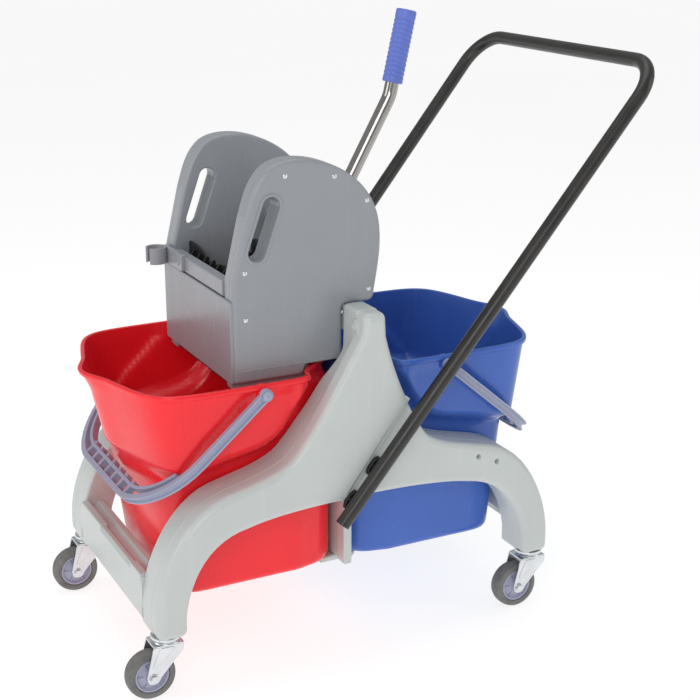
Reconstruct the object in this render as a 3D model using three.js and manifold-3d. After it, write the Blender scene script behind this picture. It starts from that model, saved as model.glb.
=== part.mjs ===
// Twin-bucket mop trolley with a down-press wringer.
// Millimetres, +Z up, X along the trolley from the red bucket to the blue one.
// The sub-parts are built about the centre of the frame, and the whole group is
// moved at the end so that its origin is the middle of its box, on the floor.
import * as THREE from 'three';
import { mergeVertices } from 'three/addons/utils/BufferGeometryUtils.js';
import Module from 'manifold-3d';

const wasm = await Module();
wasm.setup();

// ---- driving dimensions ----
const GAP = 0.3;                 // clearance left between pieces that touch

const FRAME_OUT = 220;           // outer face of a side frame, from the middle
const FRAME_IN = 147;            // inner face of a side frame
const LEG_FOOT = 97;             // underside of the legs
const LEG_OUTER = 331;           // outer edge of a leg at its foot
const LEG_INNER = 284;           // inner edge of a leg at its foot
const TOWER_TOP = 545;           // flat top that stands beside the wringer
const REST_TOP = 540.4;          // pad inside the tower that carries the wringer

const WHEEL_R = 37.5;            // 75 mm castor wheel
const TYRE_W = 25;
const CASTOR_X = 310;            // swivel centres
const CASTOR_Y = 190;
const CASTOR_TRAIL = 27;
const BLUE_EXTRA = 10;           // how much farther out the legs of the blue end stand

const BUCKET_FLOOR = 118;
const RIM = 452;                 // top of the bucket rim
const WALL = 4;
const LIP = 4;                   // how far the rim stands out from the wall
const BAIL_X = 144;              // bail pivot of the red bucket, from the middle of the frame
const BLUE_SHIFT = 16;           // the blue bucket hangs this much farther out
const BULKHEAD_X = 8;            // middle of the wall between the buckets
const BAIL_Z = 438;
const BAIL_REACH = 240;          // pivot to the middle of the carrying grip
const BAIL_HANG = 40.5;          // degrees below level when it leans on the bucket

const HANDLE_TUBE_R = 11;
const TUBE_WALL = 1.5;           // wall of both steel tubes
const HANDLE_FOOT = new THREE.Vector3(-45, 236, 232);   // lower end of the far leg
const HANDLE_BAR = new THREE.Vector3(482, 250, 880);    // where that leg meets the cross bar
const HANDLE_BEND = 60;

const EAR_IN = 105;              // inner face of a wringer side housing
const EAR_SPLIT = 127;           // where its cover plate begins
const EAR_OUT = 141;
const SKIRT_BOTTOM = 428;
const SKIRT_REAR = -48;
const FRONT_X = -171;            // front face of the wringer
const SHAFT = [0, 630];          // lever shaft, x and z
const CRANK = 78;                // length of the cranks and of the rockers
const CRANK_BACK = 25;           // degrees that they lean back at rest
const LINK_OFFSET = [-50, -62];  // rocker pivot, from the lever shaft
const LINK_Y = 94;               // inner face of the crank and rocker bars
const LINK_T = 5;

const CLIP_CENTRE = [-194, 118];
const CLIP_R = 17;

const group = new THREE.Group();

// ---- finishes ----
function finish(color, roughness, metalness = 0) {
  return new THREE.MeshStandardMaterial({ color, roughness, metalness });
}

const finishes = {
  framePlastic: finish(0xc3c8c6, 0.5),
  redPlastic: finish(0xe2202c, 0.35),
  bluePlastic: finish(0x4468b4, 0.35),
  bailPlastic: finish(0xa0a5c3, 0.45),
  wringerPlastic: finish(0x91969b, 0.35),
  blackPlastic: finish(0x1c1d1e, 0.6),
  handlePaint: finish(0x202122, 0.45, 0.3),
  chrome: finish(0xd8dadc, 0.12, 1),
  zinc: finish(0xd2d6d8, 0.35, 0.9),
  gripPlastic: finish(0x5a6ac6, 0.5),
  hubPlastic: finish(0x9694b4, 0.5),
  tyreRubber: finish(0x6a6a68, 0.8),
  springSteel: finish(0x8a8d90, 0.3, 1),
};

function add(name, geometry, material) {
  const mesh = new THREE.Mesh(geometry, material);
  mesh.name = name;
  group.add(mesh);
  return mesh;
}

// ---- shape tools ----
const radians = THREE.MathUtils.degToRad;

function solidOf(geometry) {
  const bare = geometry.clone();
  bare.deleteAttribute('normal');
  bare.deleteAttribute('uv');
  const merged = mergeVertices(bare, 1e-3);
  return new wasm.Manifold(new wasm.Mesh({
    numProp: 3,
    vertProperties: new Float32Array(merged.attributes.position.array),
    triVerts: new Uint32Array(merged.index.array),
  }));
}

function geometryOf(solid) {
  const mesh = solid.getMesh();
  const geometry = new THREE.BufferGeometry();
  geometry.setAttribute('position', new THREE.BufferAttribute(mesh.vertProperties, 3));
  geometry.setIndex(new THREE.BufferAttribute(mesh.triVerts, 1));
  geometry.computeVertexNormals();
  return geometry;
}

function join(...parts) {
  return geometryOf(parts.map(solidOf).reduce((sum, part) => sum.add(part)));
}

function cut(body, ...tools) {
  return geometryOf(tools.map(solidOf).reduce((rest, tool) => rest.subtract(tool), solidOf(body)));
}

// A side-view outline (x, z) made solid from y0 to y1, with its long edges eased.
function plate(shape, y0, y1, ease = 0, curveSegments = 8) {
  const geometry = new THREE.ExtrudeGeometry(shape, {
    depth: y1 - y0 - 2 * ease,
    curveSegments,
    bevelEnabled: ease > 0,
    bevelThickness: ease,
    bevelSize: ease,
    bevelOffset: -ease,
    bevelSegments: 1,
  });
  geometry.rotateX(Math.PI / 2);
  geometry.translate(0, y1 - ease, 0);
  return geometry;
}

function block(x0, x1, y0, y1, z0, z1) {
  const geometry = new THREE.BoxGeometry(x1 - x0, y1 - y0, z1 - z0);
  geometry.translate((x0 + x1) / 2, (y0 + y1) / 2, (z0 + z1) / 2);
  return geometry;
}

function roundBar([x, z], y0, y1, radius, sides = 16) {
  const geometry = new THREE.CylinderGeometry(radius, radius, y1 - y0, sides);
  geometry.translate(x, (y0 + y1) / 2, z);
  return geometry;
}

const polygon = (points) => new THREE.Shape(points.map(([x, z]) => new THREE.Vector2(x, z)));
const mirrorY = (geometry) => geometryOf(solidOf(geometry).mirror([0, 1, 0]));

// A bar with round ends between two side-view points.
function barShape([x0, z0], [x1, z1], half) {
  const along = Math.atan2(z1 - z0, x1 - x0);
  const shape = new THREE.Shape();
  shape.absarc(x1, z1, half, along - Math.PI / 2, along + Math.PI / 2);
  shape.absarc(x0, z0, half, along + Math.PI / 2, along + 1.5 * Math.PI);
  return shape;
}

// A route through given points, used point by point as an extrude path.
class Route extends THREE.Curve {
  constructor(points) {
    super();
    this.points = points;
  }

  getPoint(t, target = new THREE.Vector3()) {
    const place = t * (this.points.length - 1);
    const from = Math.min(Math.floor(place), this.points.length - 2);
    return target.lerpVectors(this.points[from], this.points[from + 1], place - from);
  }

  getPointAt(u, target) {
    return this.getPoint(u, target);
  }

  getTangentAt(u, target = new THREE.Vector3()) {
    const last = this.points.length - 1;
    const here = Math.round(u * last);
    const before = this.points[Math.max(here - 1, 0)];
    const after = this.points[Math.min(here + 1, last)];
    return target.subVectors(after, before).normalize();
  }
}

// A round rod, or a tube when it is given a bore, along a route of points.
function roundRod(points, radius, sides = 12, bore = 0) {
  const section = new THREE.Shape();
  section.absarc(0, 0, radius, 0, 2 * Math.PI);
  if (bore > 0) section.holes.push(new THREE.Path().absarc(0, 0, bore, 0, 2 * Math.PI, true));
  return new THREE.ExtrudeGeometry(section, {
    steps: points.length - 1,
    curveSegments: sides / 2,
    extrudePath: new Route(points),
  });
}

// The points of a straight run, an arc of the given radius at the corner, and a straight run.
function bend(start, corner, end, radius, steps) {
  const back = start.clone().sub(corner).normalize();
  const ahead = end.clone().sub(corner).normalize();
  const half = back.angleTo(ahead) / 2;
  const centre = corner.clone().addScaledVector(back.clone().add(ahead).normalize(), radius / Math.sin(half));
  const first = corner.clone().addScaledVector(back, radius / Math.tan(half)).sub(centre);
  const axis = back.clone().cross(ahead).normalize();
  const points = [];
  for (let i = 0; i <= steps; i += 1) {
    const turn = -(Math.PI - 2 * half) * (i / steps);
    points.push(first.clone().applyAxisAngle(axis, turn).add(centre));
  }
  return points;
}

// ---- side frames: an arch on two legs, with a tower between the buckets ----
function frameOutline() {
  const shape = new THREE.Shape();
  shape.moveTo(LEG_INNER, LEG_FOOT);
  shape.lineTo(LEG_OUTER, LEG_FOOT);
  shape.bezierCurveTo(LEG_OUTER, 190, 288, 284, 220, 302);
  shape.bezierCurveTo(183, 312, 135, 320, 113, 340);
  shape.bezierCurveTo(88, 370, 55, 440, 39, 508);
  shape.lineTo(37, TOWER_TOP);
  shape.lineTo(2, TOWER_TOP);
  shape.lineTo(0, 512);
  shape.bezierCurveTo(-48, 430, -85, 368, -113, 340);
  shape.bezierCurveTo(-135, 320, -183, 312, -220, 302);
  shape.bezierCurveTo(-288, 284, -LEG_OUTER, 190, -LEG_OUTER, LEG_FOOT);
  shape.lineTo(-LEG_INNER, LEG_FOOT);
  shape.bezierCurveTo(-275, 180, -243, 238, -185, 246);
  shape.bezierCurveTo(-140, 258, -60, 260, 0, 260);
  shape.bezierCurveTo(60, 260, 140, 258, 185, 246);
  shape.bezierCurveTo(243, 238, 275, 180, LEG_INNER, LEG_FOOT);
  return shape;
}

function sideFrame() {
  const arch = plate(frameOutline(), FRAME_IN, FRAME_OUT, 6, 6);
  const pad = block(6, 26, 130, FRAME_IN + 12, 500, REST_TOP);
  return join(arch, pad);
}

// The blue half of an arch is drawn out a little beyond the tower.
function lengthenBlueEnd(geometry) {
  const place = geometry.getAttribute('position');
  for (let i = 0; i < place.count; i += 1) {
    const beyond = Math.min(Math.max((place.getX(i) - 120) / 160, 0), 1);
    place.setX(i, place.getX(i) + BLUE_EXTRA * beyond);
  }
  return geometry;
}

function crossbar() {
  const channel = polygon([
    [-331, 106], [-323, 106], [-323, 164], [-301, 164], [-301, 138],
    [-293, 138], [-293, 172], [-331, 172],
  ]);
  return plate(channel, -FRAME_IN + GAP, FRAME_IN - GAP);
}

function bulkhead() {
  const side = FRAME_IN - GAP;
  return join(
    block(-5, 5, -side, side, 118, 300),
    block(-5, 5, -110, 110, 108, 120),
    block(-32, 32, -110, 110, 108, BUCKET_FLOOR - GAP),
    block(-7, 7, -side, -126, 118, 330),
    block(-7, 7, 126, side, 118, 330),
  ).translate(BULKHEAD_X, 0, 0);
}

add('near_side_frame', lengthenBlueEnd(mirrorY(sideFrame())), finishes.framePlastic);
add('far_side_frame', lengthenBlueEnd(sideFrame()), finishes.framePlastic);
add('red_end_crossbar', crossbar(), finishes.framePlastic);
add('blue_end_crossbar', crossbar().rotateZ(Math.PI).translate(BLUE_EXTRA, 0, 0), finishes.framePlastic);
add('centre_bulkhead', bulkhead(), finishes.framePlastic);

// ---- castors: plate, fork, axle, hub and tyre, trailing towards the red end ----
function forkEar(y0, y1) {
  const ear = new THREE.Shape();
  ear.moveTo(20, 88);
  ear.lineTo(-24, 88);
  ear.lineTo(-CASTOR_TRAIL - 9, WHEEL_R);
  ear.absarc(-CASTOR_TRAIL, WHEEL_R, 9, Math.PI, 2 * Math.PI);
  ear.lineTo(-CASTOR_TRAIL + 16, WHEEL_R + 12);
  ear.lineTo(20, 78);
  return plate(ear, y0, y1, 0, 3);
}

function fork() {
  const crown = new THREE.CylinderGeometry(20, 24, 7, 14);
  crown.rotateX(Math.PI / 2);
  crown.translate(0, 0, 87);
  const bridge = block(-26, 20, -18.5, 18.5, 83.5, 88);
  const body = join(forkEar(-18.5, -15.9), forkEar(15.9, 18.5), crown, bridge);
  return cut(body, roundBar([-CASTOR_TRAIL, WHEEL_R], -20, 20, 4.5, 10));
}

function spun(profile, sides) {
  return new THREE.LatheGeometry(profile.map(([r, y]) => new THREE.Vector2(r, y)), sides);
}

const axleProfile = [
  [0, -23], [6.5, -23], [6.5, -18.8], [4, -18.8], [4, 18.8], [6.5, 18.8], [6.5, 23], [0, 23],
];
const hubProfile = [
  [4.5, -15], [9, -15], [9, -9], [26.5, -9], [26.5, 9], [9, 9], [9, 15], [4.5, 15], [4.5, -15],
];
const tyreProfile = [
  [26.9, -TYRE_W / 2], [33, -TYRE_W / 2], [WHEEL_R - 1, -7], [WHEEL_R, 0],
  [WHEEL_R - 1, 7], [33, TYRE_W / 2], [26.9, TYRE_W / 2], [26.9, -TYRE_W / 2],
];

for (const [side, ySign] of [['near', -1], ['far', 1]]) {
  for (const [end, castorX] of [['red', -CASTOR_X], ['blue', CASTOR_X + BLUE_EXTRA]]) {
    const name = `${side}_${end}_castor`;
    const castor = new THREE.Group();
    castor.position.set(castorX, ySign * CASTOR_Y, 0);
    const wheel = new THREE.Group();
    wheel.position.set(-CASTOR_TRAIL, 0, WHEEL_R);
    castor.add(wheel);
    group.add(castor);
    const top = new THREE.CylinderGeometry(23, 23, 5.5, 16);
    top.rotateX(Math.PI / 2);
    const topPlate = add(`${name}_plate`, top, finishes.zinc);
    topPlate.position.z = LEG_FOOT - GAP - 2.75;
    castor.add(topPlate);
    castor.add(add(`${name}_fork`, fork(), finishes.zinc));
    wheel.add(add(`${name}_axle`, spun(axleProfile, 8), finishes.zinc));
    wheel.add(add(`${name}_hub`, spun(hubProfile, 20), finishes.hubPlastic));
    wheel.add(add(`${name}_tyre`, spun(tyreProfile, 24), finishes.tyreRubber));
  }
}

// ---- push handle: one bent tube on four saddles ----
function handleTube() {
  const foot = (side) => HANDLE_FOOT.clone().setY(side * HANDLE_FOOT.y);
  const corner = (side) => HANDLE_BAR.clone().setY(side * HANDLE_BAR.y);
  return roundRod([
    foot(-1),
    ...bend(foot(-1), corner(-1), corner(1), HANDLE_BEND, 8),
    ...bend(corner(-1), corner(1), foot(1), HANDLE_BEND, 8),
    foot(1),
  ], HANDLE_TUBE_R, 14, HANDLE_TUBE_R - TUBE_WALL);
}

// A spacer under the leg, a given part of the way from its foot to the cross bar.
function saddle(place, side) {
  const slope = Math.atan2(HANDLE_BAR.z - HANDLE_FOOT.z, HANDLE_BAR.x - HANDLE_FOOT.x);
  const middle = HANDLE_FOOT.clone().lerp(HANDLE_BAR, place);
  const inner = FRAME_OUT + GAP;
  const outer = middle.y - HANDLE_TUBE_R - 2 * GAP;
  const geometry = new THREE.BoxGeometry(34, outer - inner, 24);
  geometry.rotateY(-slope);
  geometry.translate(middle.x, side * (inner + outer) / 2, middle.z);
  return geometry;
}

add('push_handle', handleTube(), finishes.handlePaint);
for (const [side, ySign] of [['near', -1], ['far', 1]]) {
  add(`${side}_upper_handle_saddle`, saddle(0.118, ySign), finishes.blackPlastic);
  add(`${side}_lower_handle_saddle`, saddle(0.045, ySign), finishes.blackPlastic);
}

// ---- buckets: a low body between the arches and a wide shoulder resting over them ----
// Each station goes round half the plan: low body (x, y), wide upper body (x, y), and
// the height at which the one steps out to the other.
const stations = [
  [[-274, 0], [-353, 0], 325],
  [[-274, 45], [-342, 44], 325],
  [[-272, 85], [-329, 92], 325],
  [[-267, 112], [-315, 136], 325],
  [[-256, 132], [-296, 164], 322],
  [[-236, 141], [-264, 177], 322],
  [[-185, 141], [-205, 180], 334],
  [[-140, 141], [-145, 180], 344],
  [[-112, 141], [-112, 180], 362],
  [[-92, 141], [-90, 179], 396],
  [[-82, 141], [-77, 177], 416],
  [[-72, 141], [-67, 171], 426],
  [[-54, 137], [-64, 156], 429],
  [[-30, 131], [-53, 139], 429],
  [[-10, 115], [-33, 122], 427],
  [[0, 90], [-9, 96], 424],
  [[0, 40], [-1, 44], 424],
];

function bucketRings() {
  const half = stations.map(([low, high, step]) => ({ low, high, step }));
  const back = half.slice(1).reverse().map(({ low, high, step }) => ({
    low: [low[0], -low[1]], high: [high[0], -high[1]], step,
  }));
  const around = [...half, ...back];
  const drift = (s, z) => (z - BUCKET_FLOOR) / (s.step - BUCKET_FLOOR);
  // the low body leans outward until it meets the shoulder
  const lowAt = (s, z) => {
    const lean = Math.min(drift(s, z), 1);
    const out = s.low[0] < -230 ? 0.48 : 0;
    const wide = 1 + 0.03 * lean;
    return [s.low[0] + (s.high[0] - s.low[0]) * out * lean, s.low[1] * wide];
  };
  // the outer end of the upper body leans in again below the rim
  const highAt = (s, z) => {
    const outermost = THREE.MathUtils.clamp((-s.high[0] - 200) / 140, 0, 1);
    return [s.high[0] + 0.22 * outermost * (RIM - z), s.high[1]];
  };
  const ringAt = (place) => around.map((s, i) => {
    const { xy, z } = place(s);
    return { x: xy[0], y: xy[1], z, i };
  });
  const inset = (ring, amount) => ring.map((p, i) => {
    const a = ring[(i + ring.length - 1) % ring.length];
    const b = ring[(i + 1) % ring.length];
    const along = new THREE.Vector2(b.x - a.x, b.y - a.y).normalize();
    return new THREE.Vector3(p.x + along.y * amount, p.y - along.x * amount, p.z);
  });
  const rings = {
    floor: ringAt((s) => ({ xy: lowAt(s, BUCKET_FLOOR), z: BUCKET_FLOOR })),
    below: ringAt((s) => ({ xy: lowAt(s, s.step - 14), z: s.step - 14 })),
    above: ringAt((s) => ({ xy: highAt(s, s.step + 14), z: s.step + 14 })),
    neck: ringAt((s) => ({ xy: highAt(s, RIM - 8), z: RIM - 8 })),
    rim: ringAt((s) => ({ xy: s.high, z: RIM })),
  };
  const lift = (ring, z) => ring.map((p) => ({ ...p, z: p.z + z }));
  return [
    inset(rings.floor, 0),
    inset(rings.below, 0),
    inset(rings.above, 0),
    inset(rings.neck, 0),
    inset(rings.neck, -LIP),
    inset(rings.rim, -LIP),
    inset(rings.rim, WALL),
    inset(rings.above, WALL),
    inset(rings.below, WALL),
    inset(lift(rings.floor, WALL), WALL),
  ];
}

// A closed skin through rings of equal length, with both end rings filled.
function loft(rings) {
  const count = rings[0].length;
  const positions = rings.flat().flatMap((p) => [p.x, p.y, p.z]);
  const faces = [];
  for (let r = 0; r + 1 < rings.length; r += 1) {
    for (let i = 0; i < count; i += 1) {
      const a = r * count + i;
      const b = r * count + ((i + 1) % count);
      faces.push(a, b, a + count, b, b + count, a + count);
    }
  }
  const fill = (r, flip) => {
    const outline = rings[r].map((p) => new THREE.Vector2(p.x, p.y));
    for (const [a, b, c] of THREE.ShapeUtils.triangulateShape(outline, [])) {
      const face = flip ? [c, b, a] : [a, b, c];
      faces.push(...face.map((k) => r * count + k));
    }
  };
  fill(0, true);
  fill(rings.length - 1, false);
  const geometry = new THREE.BufferGeometry();
  geometry.setAttribute('position', new THREE.Float32BufferAttribute(positions, 3));
  geometry.setIndex(faces);
  return geometry;
}

function bucket() {
  const shell = loft([...bucketRings()].map((ring) => ring.slice().reverse()));
  const boss = (y0, y1) => roundBar([-BAIL_X, BAIL_Z], y0, y1, 9, 14);
  return join(shell, boss(178, 186.2), boss(-186.2, -178));
}

// What the red side has, turned about for the blue side.
function blueSide(geometry) {
  return geometry.rotateZ(Math.PI).translate(BLUE_SHIFT, 0, 0);
}

add('red_bucket', bucket(), finishes.redPlastic);
add('blue_bucket', blueSide(bucket()), finishes.bluePlastic);

// ---- bails: two arms, a laddered carrying grip, and a rivet at each pivot ----
const BAIL_ARM = 191;            // middle of an arm, from the middle of the bucket
const BAIL_DEPTH = 15;           // height of the moulding across its own plane
const BAIL_BAND = 15;            // half the breadth of the carrying grip

function bailOutline(inner, reach, radius) {
  const shape = new THREE.Shape();
  shape.moveTo(inner, 0);
  shape.lineTo(inner, reach - radius);
  shape.absarc(inner - radius, reach - radius, radius, 0, Math.PI / 2);
  shape.lineTo(radius - inner, reach);
  shape.absarc(radius - inner, reach - radius, radius, Math.PI / 2, Math.PI);
  shape.lineTo(-inner, 0);
  return shape;
}

function bail() {
  const depth = { depth: BAIL_DEPTH, bevelEnabled: false, curveSegments: 6 };
  const outer = new THREE.ExtrudeGeometry(bailOutline(BAIL_ARM + 4.5, BAIL_REACH + BAIL_BAND, 120), depth);
  const inner = new THREE.ExtrudeGeometry(bailOutline(BAIL_ARM - 4.5, BAIL_REACH - BAIL_BAND, 105), depth);
  inner.translate(0, -1, -1);
  inner.scale(1, 1, 1.2);
  const eyes = [-1, 1].map((side) => {
    const eye = new THREE.CylinderGeometry(9, 9, 9, 14);
    eye.rotateZ(Math.PI / 2);
    eye.translate(side * BAIL_ARM, 0, BAIL_DEPTH / 2);
    return eye;
  });
  const pinHoles = new THREE.CylinderGeometry(4.6, 4.6, 500, 12);
  pinHoles.rotateZ(Math.PI / 2);
  pinHoles.translate(0, 0, BAIL_DEPTH / 2);
  const windows = [-2.5, -1.5, -0.5, 0.5, 1.5, 2.5].map((step) => {
    const opening = new THREE.BoxGeometry(20, 14, 30);
    opening.translate(step * 27, BAIL_REACH, BAIL_DEPTH / 2);
    return opening;
  });
  const hoop = geometryOf(solidOf(outer).subtract(solidOf(inner)));
  const geometry = cut(join(hoop, ...eyes), pinHoles, ...windows);
  geometry.translate(0, 0, -BAIL_DEPTH / 2);
  // its own plane is (y, out): turn it to run out towards the red end, hanging down
  geometry.rotateZ(Math.PI / 2);
  geometry.rotateY(radians(-BAIL_HANG));
  geometry.translate(-BAIL_X, 0, BAIL_Z);
  return geometry;
}

function rivet(side) {
  const profile = [[0, 0], [4.2, 0], [4.2, 10], [8, 10], [7, 12.5], [0, 13.5]];
  const geometry = spun(profile, 12);
  if (side < 0) geometry.rotateZ(Math.PI);
  geometry.translate(-BAIL_X, side * (186.2 + GAP), BAIL_Z);
  return geometry;
}

add('red_bail', bail(), finishes.bailPlastic);
add('blue_bail', blueSide(bail()), finishes.bailPlastic);
add('red_near_bail_rivet', rivet(-1), finishes.bailPlastic);
add('red_far_bail_rivet', rivet(1), finishes.bailPlastic);
add('blue_near_bail_rivet', blueSide(rivet(1)), finishes.bailPlastic);
add('blue_far_bail_rivet', blueSide(rivet(-1)), finishes.bailPlastic);

// ---- wringer housings: an inner wall and a cover plate on each side ----
const slotEnds = [[-109, 701], [-133, 635]];

function earOutline(inset, deep) {
  const front = FRONT_X + inset;
  const rear = 58 - inset;
  const belly = 4 - inset;
  const shape = new THREE.Shape();
  if (deep) {
    shape.moveTo(front, SKIRT_BOTTOM + inset);
    shape.lineTo(SKIRT_REAR - inset, SKIRT_BOTTOM + inset);
    shape.lineTo(SKIRT_REAR - inset, 456 + inset);
  } else {
    shape.moveTo(front, 456 + inset);
  }
  shape.lineTo(belly, 456 + inset);
  shape.lineTo(belly, 541 + inset);
  shape.lineTo(rear - 12, 541 + inset);
  shape.quadraticCurveTo(rear, 541 + inset, rear, 556);
  shape.bezierCurveTo(rear + 4, 580, rear + 11, 610, rear + 10, 640);
  shape.bezierCurveTo(rear + 10, 702, 26 - inset, 737 - inset, -16, 754 - inset);
  shape.bezierCurveTo(-52, 768 - inset, -90, 768 - inset, -111 + inset, 755 - inset);
  shape.bezierCurveTo(-134 + inset, 738, -140 + inset, 712, -149 + inset, 684);
  shape.lineTo(front, 592);
  return shape;
}

function housing(y0, y1, wall, deep, openOutside) {
  const body = plate(earOutline(0, deep), y0, y1, 0, 6);
  const cavity = openOutside
    ? plate(earOutline(4, deep), y0 + wall, y1 + 5, 0, 6)
    : plate(earOutline(4, deep), y0 - 5, y1 - wall, 0, 6);
  const slot = plate(barShape(...slotEnds, 15), y0 - 9, y1 + 9, 0, 5);
  const slotRing = plate(barShape(...slotEnds, 19), y0, y1, 0, 5);
  const hollow = geometryOf(solidOf(cavity).subtract(solidOf(slotRing)));
  return [geometryOf(solidOf(body).subtract(solidOf(hollow))), slot];
}

const rockerPivot = [SHAFT[0] + LINK_OFFSET[0], SHAFT[1] + LINK_OFFSET[1]];

function innerWall() {
  const [body, slot] = housing(EAR_IN, EAR_SPLIT - GAP, 4, true, true);
  const shaftHole = roundBar(SHAFT, EAR_IN - 1, EAR_IN + 5, 8.6, 16);
  const pivotHole = roundBar(rockerPivot, EAR_IN - 1, EAR_IN + 5, 5.5, 12);
  return cut(body, slot, shaftHole, pivotHole);
}

function coverPlate() {
  const [body, slot] = housing(EAR_SPLIT, EAR_OUT, 3.5, false, false);
  return cut(body, slot);
}

add('near_wringer_wall', mirrorY(innerWall()), finishes.wringerPlastic);
add('far_wringer_wall', innerWall(), finishes.wringerPlastic);
add('near_wringer_cover', mirrorY(coverPlate()), finishes.wringerPlastic);
add('far_wringer_cover', coverPlate(), finishes.wringerPlastic);

// ---- wringer panels between the housings ----
const PANEL_Y = EAR_IN - GAP;

add('wringer_front_panel', block(FRONT_X, FRONT_X + 5, -PANEL_Y, PANEL_Y, 452, 574), finishes.wringerPlastic);
add('wringer_front_rail', plate(polygon([
  [FRONT_X, 574.3], [FRONT_X + 9, 574.3], [FRONT_X + 9, 588], [FRONT_X + 14, 596], [FRONT_X, 596],
]), -PANEL_Y, PANEL_Y), finishes.wringerPlastic);
add('wringer_rear_panel', plate(polygon([
  [-30, 434], [-30, 456.3], [4, 456.3], [4, 537.5], [56, 537.5], [56, 575], [52, 575],
  [52, 541.5], [0, 541.5], [0, 460.3], [-34, 460.3], [-34, 434],
]), -PANEL_Y, PANEL_Y), finishes.wringerPlastic);

function floorGrid() {
  const outline = polygon([[-165, -PANEL_Y], [-45, -PANEL_Y], [-45, PANEL_Y], [-165, PANEL_Y]]);
  for (let row = -2; row <= 2; row += 1) {
    const y = row * 38;
    outline.holes.push(new THREE.Path([[-155, y - 9], [-55, y - 9], [-55, y + 9], [-155, y + 9]]
      .map(([x, v]) => new THREE.Vector2(x, v))));
  }
  const geometry = new THREE.ExtrudeGeometry(outline, { depth: 5, bevelEnabled: false });
  geometry.translate(0, 0, 430);
  return geometry;
}

function sieve() {
  const back = block(-144, -140, -PANEL_Y, PANEL_Y, 436, 603);
  const crest = block(-144, -140, 20, PANEL_Y, 600, 612);
  const ribs = [-78, -26, 26, 78].map((y) => block(-156, -142, y - 1.5, y + 1.5, 440, 594));
  return join(back, crest, ...ribs);
}

add('wringer_floor_grid', floorGrid(), finishes.blackPlastic);
add('wringer_sieve', sieve(), finishes.blackPlastic);

// ---- press linkage: cranks on the lever shaft, rockers below them, and the press plate ----
const lean = radians(CRANK_BACK);
const reach = [CRANK * Math.sin(lean), -CRANK * Math.cos(lean)];
const crankPin = [SHAFT[0] + reach[0], SHAFT[1] + reach[1]];
const rockerPin = [rockerPivot[0] + reach[0], rockerPivot[1] + reach[1]];

function crank(side) {
  const bar = plate(barShape(SHAFT, crankPin, 9), LINK_Y, LINK_Y + LINK_T, 0, 5);
  const arm = cut(bar, roundBar(SHAFT, 90, 103, 8.3, 16), roundBar(crankPin, 90, 103, 5.5, 12));
  return side > 0 ? arm : mirrorY(arm);
}

function rocker(side) {
  const bar = plate(barShape(rockerPivot, rockerPin, 8), LINK_Y, LINK_Y + LINK_T, 0, 5);
  const pin = roundBar(rockerPivot, LINK_Y + 1, EAR_IN + 3, 5, 12);
  const arm = cut(join(bar, pin), roundBar(rockerPin, 90, 103, 5.5, 12));
  return side > 0 ? arm : mirrorY(arm);
}

function pressPlate() {
  const face = block(-45, -37, -91, 91, 444, 598);
  const ribs = [-60, -30, 0, 30, 60].map((y) => block(-39, -30, y - 2, y + 2, 470, 560));
  const cheek = polygon([
    [-40, 474], [-17, 487], [-8, 492], [-8, 551], [30, 551], [40, 555], [42, 563], [32, 570], [-40, 590],
  ]);
  const cheeks = [-91, 85].map((y) => plate(cheek, y, y + 6));
  const pins = [crankPin, rockerPin].flatMap((place) => [
    roundBar(place, 88, 98.5, 5, 12),
    roundBar(place, -98.5, -88, 5, 12),
  ]);
  return join(face, ...ribs, ...cheeks, ...pins);
}

add('near_crank', crank(-1), finishes.zinc);
add('far_crank', crank(1), finishes.zinc);
add('near_rocker', rocker(-1), finishes.zinc);
add('far_rocker', rocker(1), finishes.zinc);
add('press_plate', pressPlate(), finishes.blackPlastic);

// ---- lever: shaft, socket, bent tube and ribbed grip ----
const LEVER_TUBE_R = 11;
const leverFoot = new THREE.Vector3(27, 0, 593);
const leverBend = new THREE.Vector3(156, 0, 822);
const leverEnd = new THREE.Vector3(184.5, 0, 949);
const GRIP_LENGTH = 112;

function leverTube() {
  return roundRod([
    leverFoot,
    ...bend(leverFoot, leverBend, leverEnd, 60, 4),
    leverEnd,
  ], LEVER_TUBE_R, 12, LEVER_TUBE_R - TUBE_WALL);
}

function alongLever(geometry, from, towards) {
  const direction = towards.clone().sub(from).normalize();
  const turn = new THREE.Quaternion().setFromUnitVectors(new THREE.Vector3(0, 1, 0), direction);
  geometry.applyQuaternion(turn);
  geometry.translate(from.x, from.y, from.z);
  return geometry;
}

function socket() {
  const sleeve = alongLever(spun([[0, -5], [16, -5], [16, 42], [0, 42]], 16), leverFoot, leverBend);
  const hub = roundBar(SHAFT, -17, 17, 17, 16);
  const web = plate(polygon([[-6, 614], [20, 578], [48, 625], [6, 646]]), -9, 9);
  const tubeBore = alongLever(spun([[0, -0.4], [11.4, -0.4], [11.4, 60], [0, 60]], 14), leverFoot, leverBend);
  return cut(join(sleeve, hub, web), roundBar(SHAFT, -30, 30, 8.4, 16), tubeBore);
}

function grip() {
  const bore = LEVER_TUBE_R + 0.5;
  const profile = [[bore, 0], [15, 0], [16, 3]];
  for (let ridge = 1; ridge <= 4; ridge += 1) {
    const middle = 3 + (ridge * (GRIP_LENGTH - 12)) / 5;
    profile.push([16, middle - 3], [15, middle], [16, middle + 3]);
  }
  profile.push([16, GRIP_LENGTH - 4], [13, GRIP_LENGTH], [0, GRIP_LENGTH + 1], [0, GRIP_LENGTH - 3]);
  profile.push([bore, GRIP_LENGTH - 3], [bore, 0]);
  const up = leverEnd.clone().sub(leverBend).normalize();
  const start = leverEnd.clone().addScaledVector(up, 3.5 - GRIP_LENGTH);
  return alongLever(spun(profile, 16), start, leverEnd);
}

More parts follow.
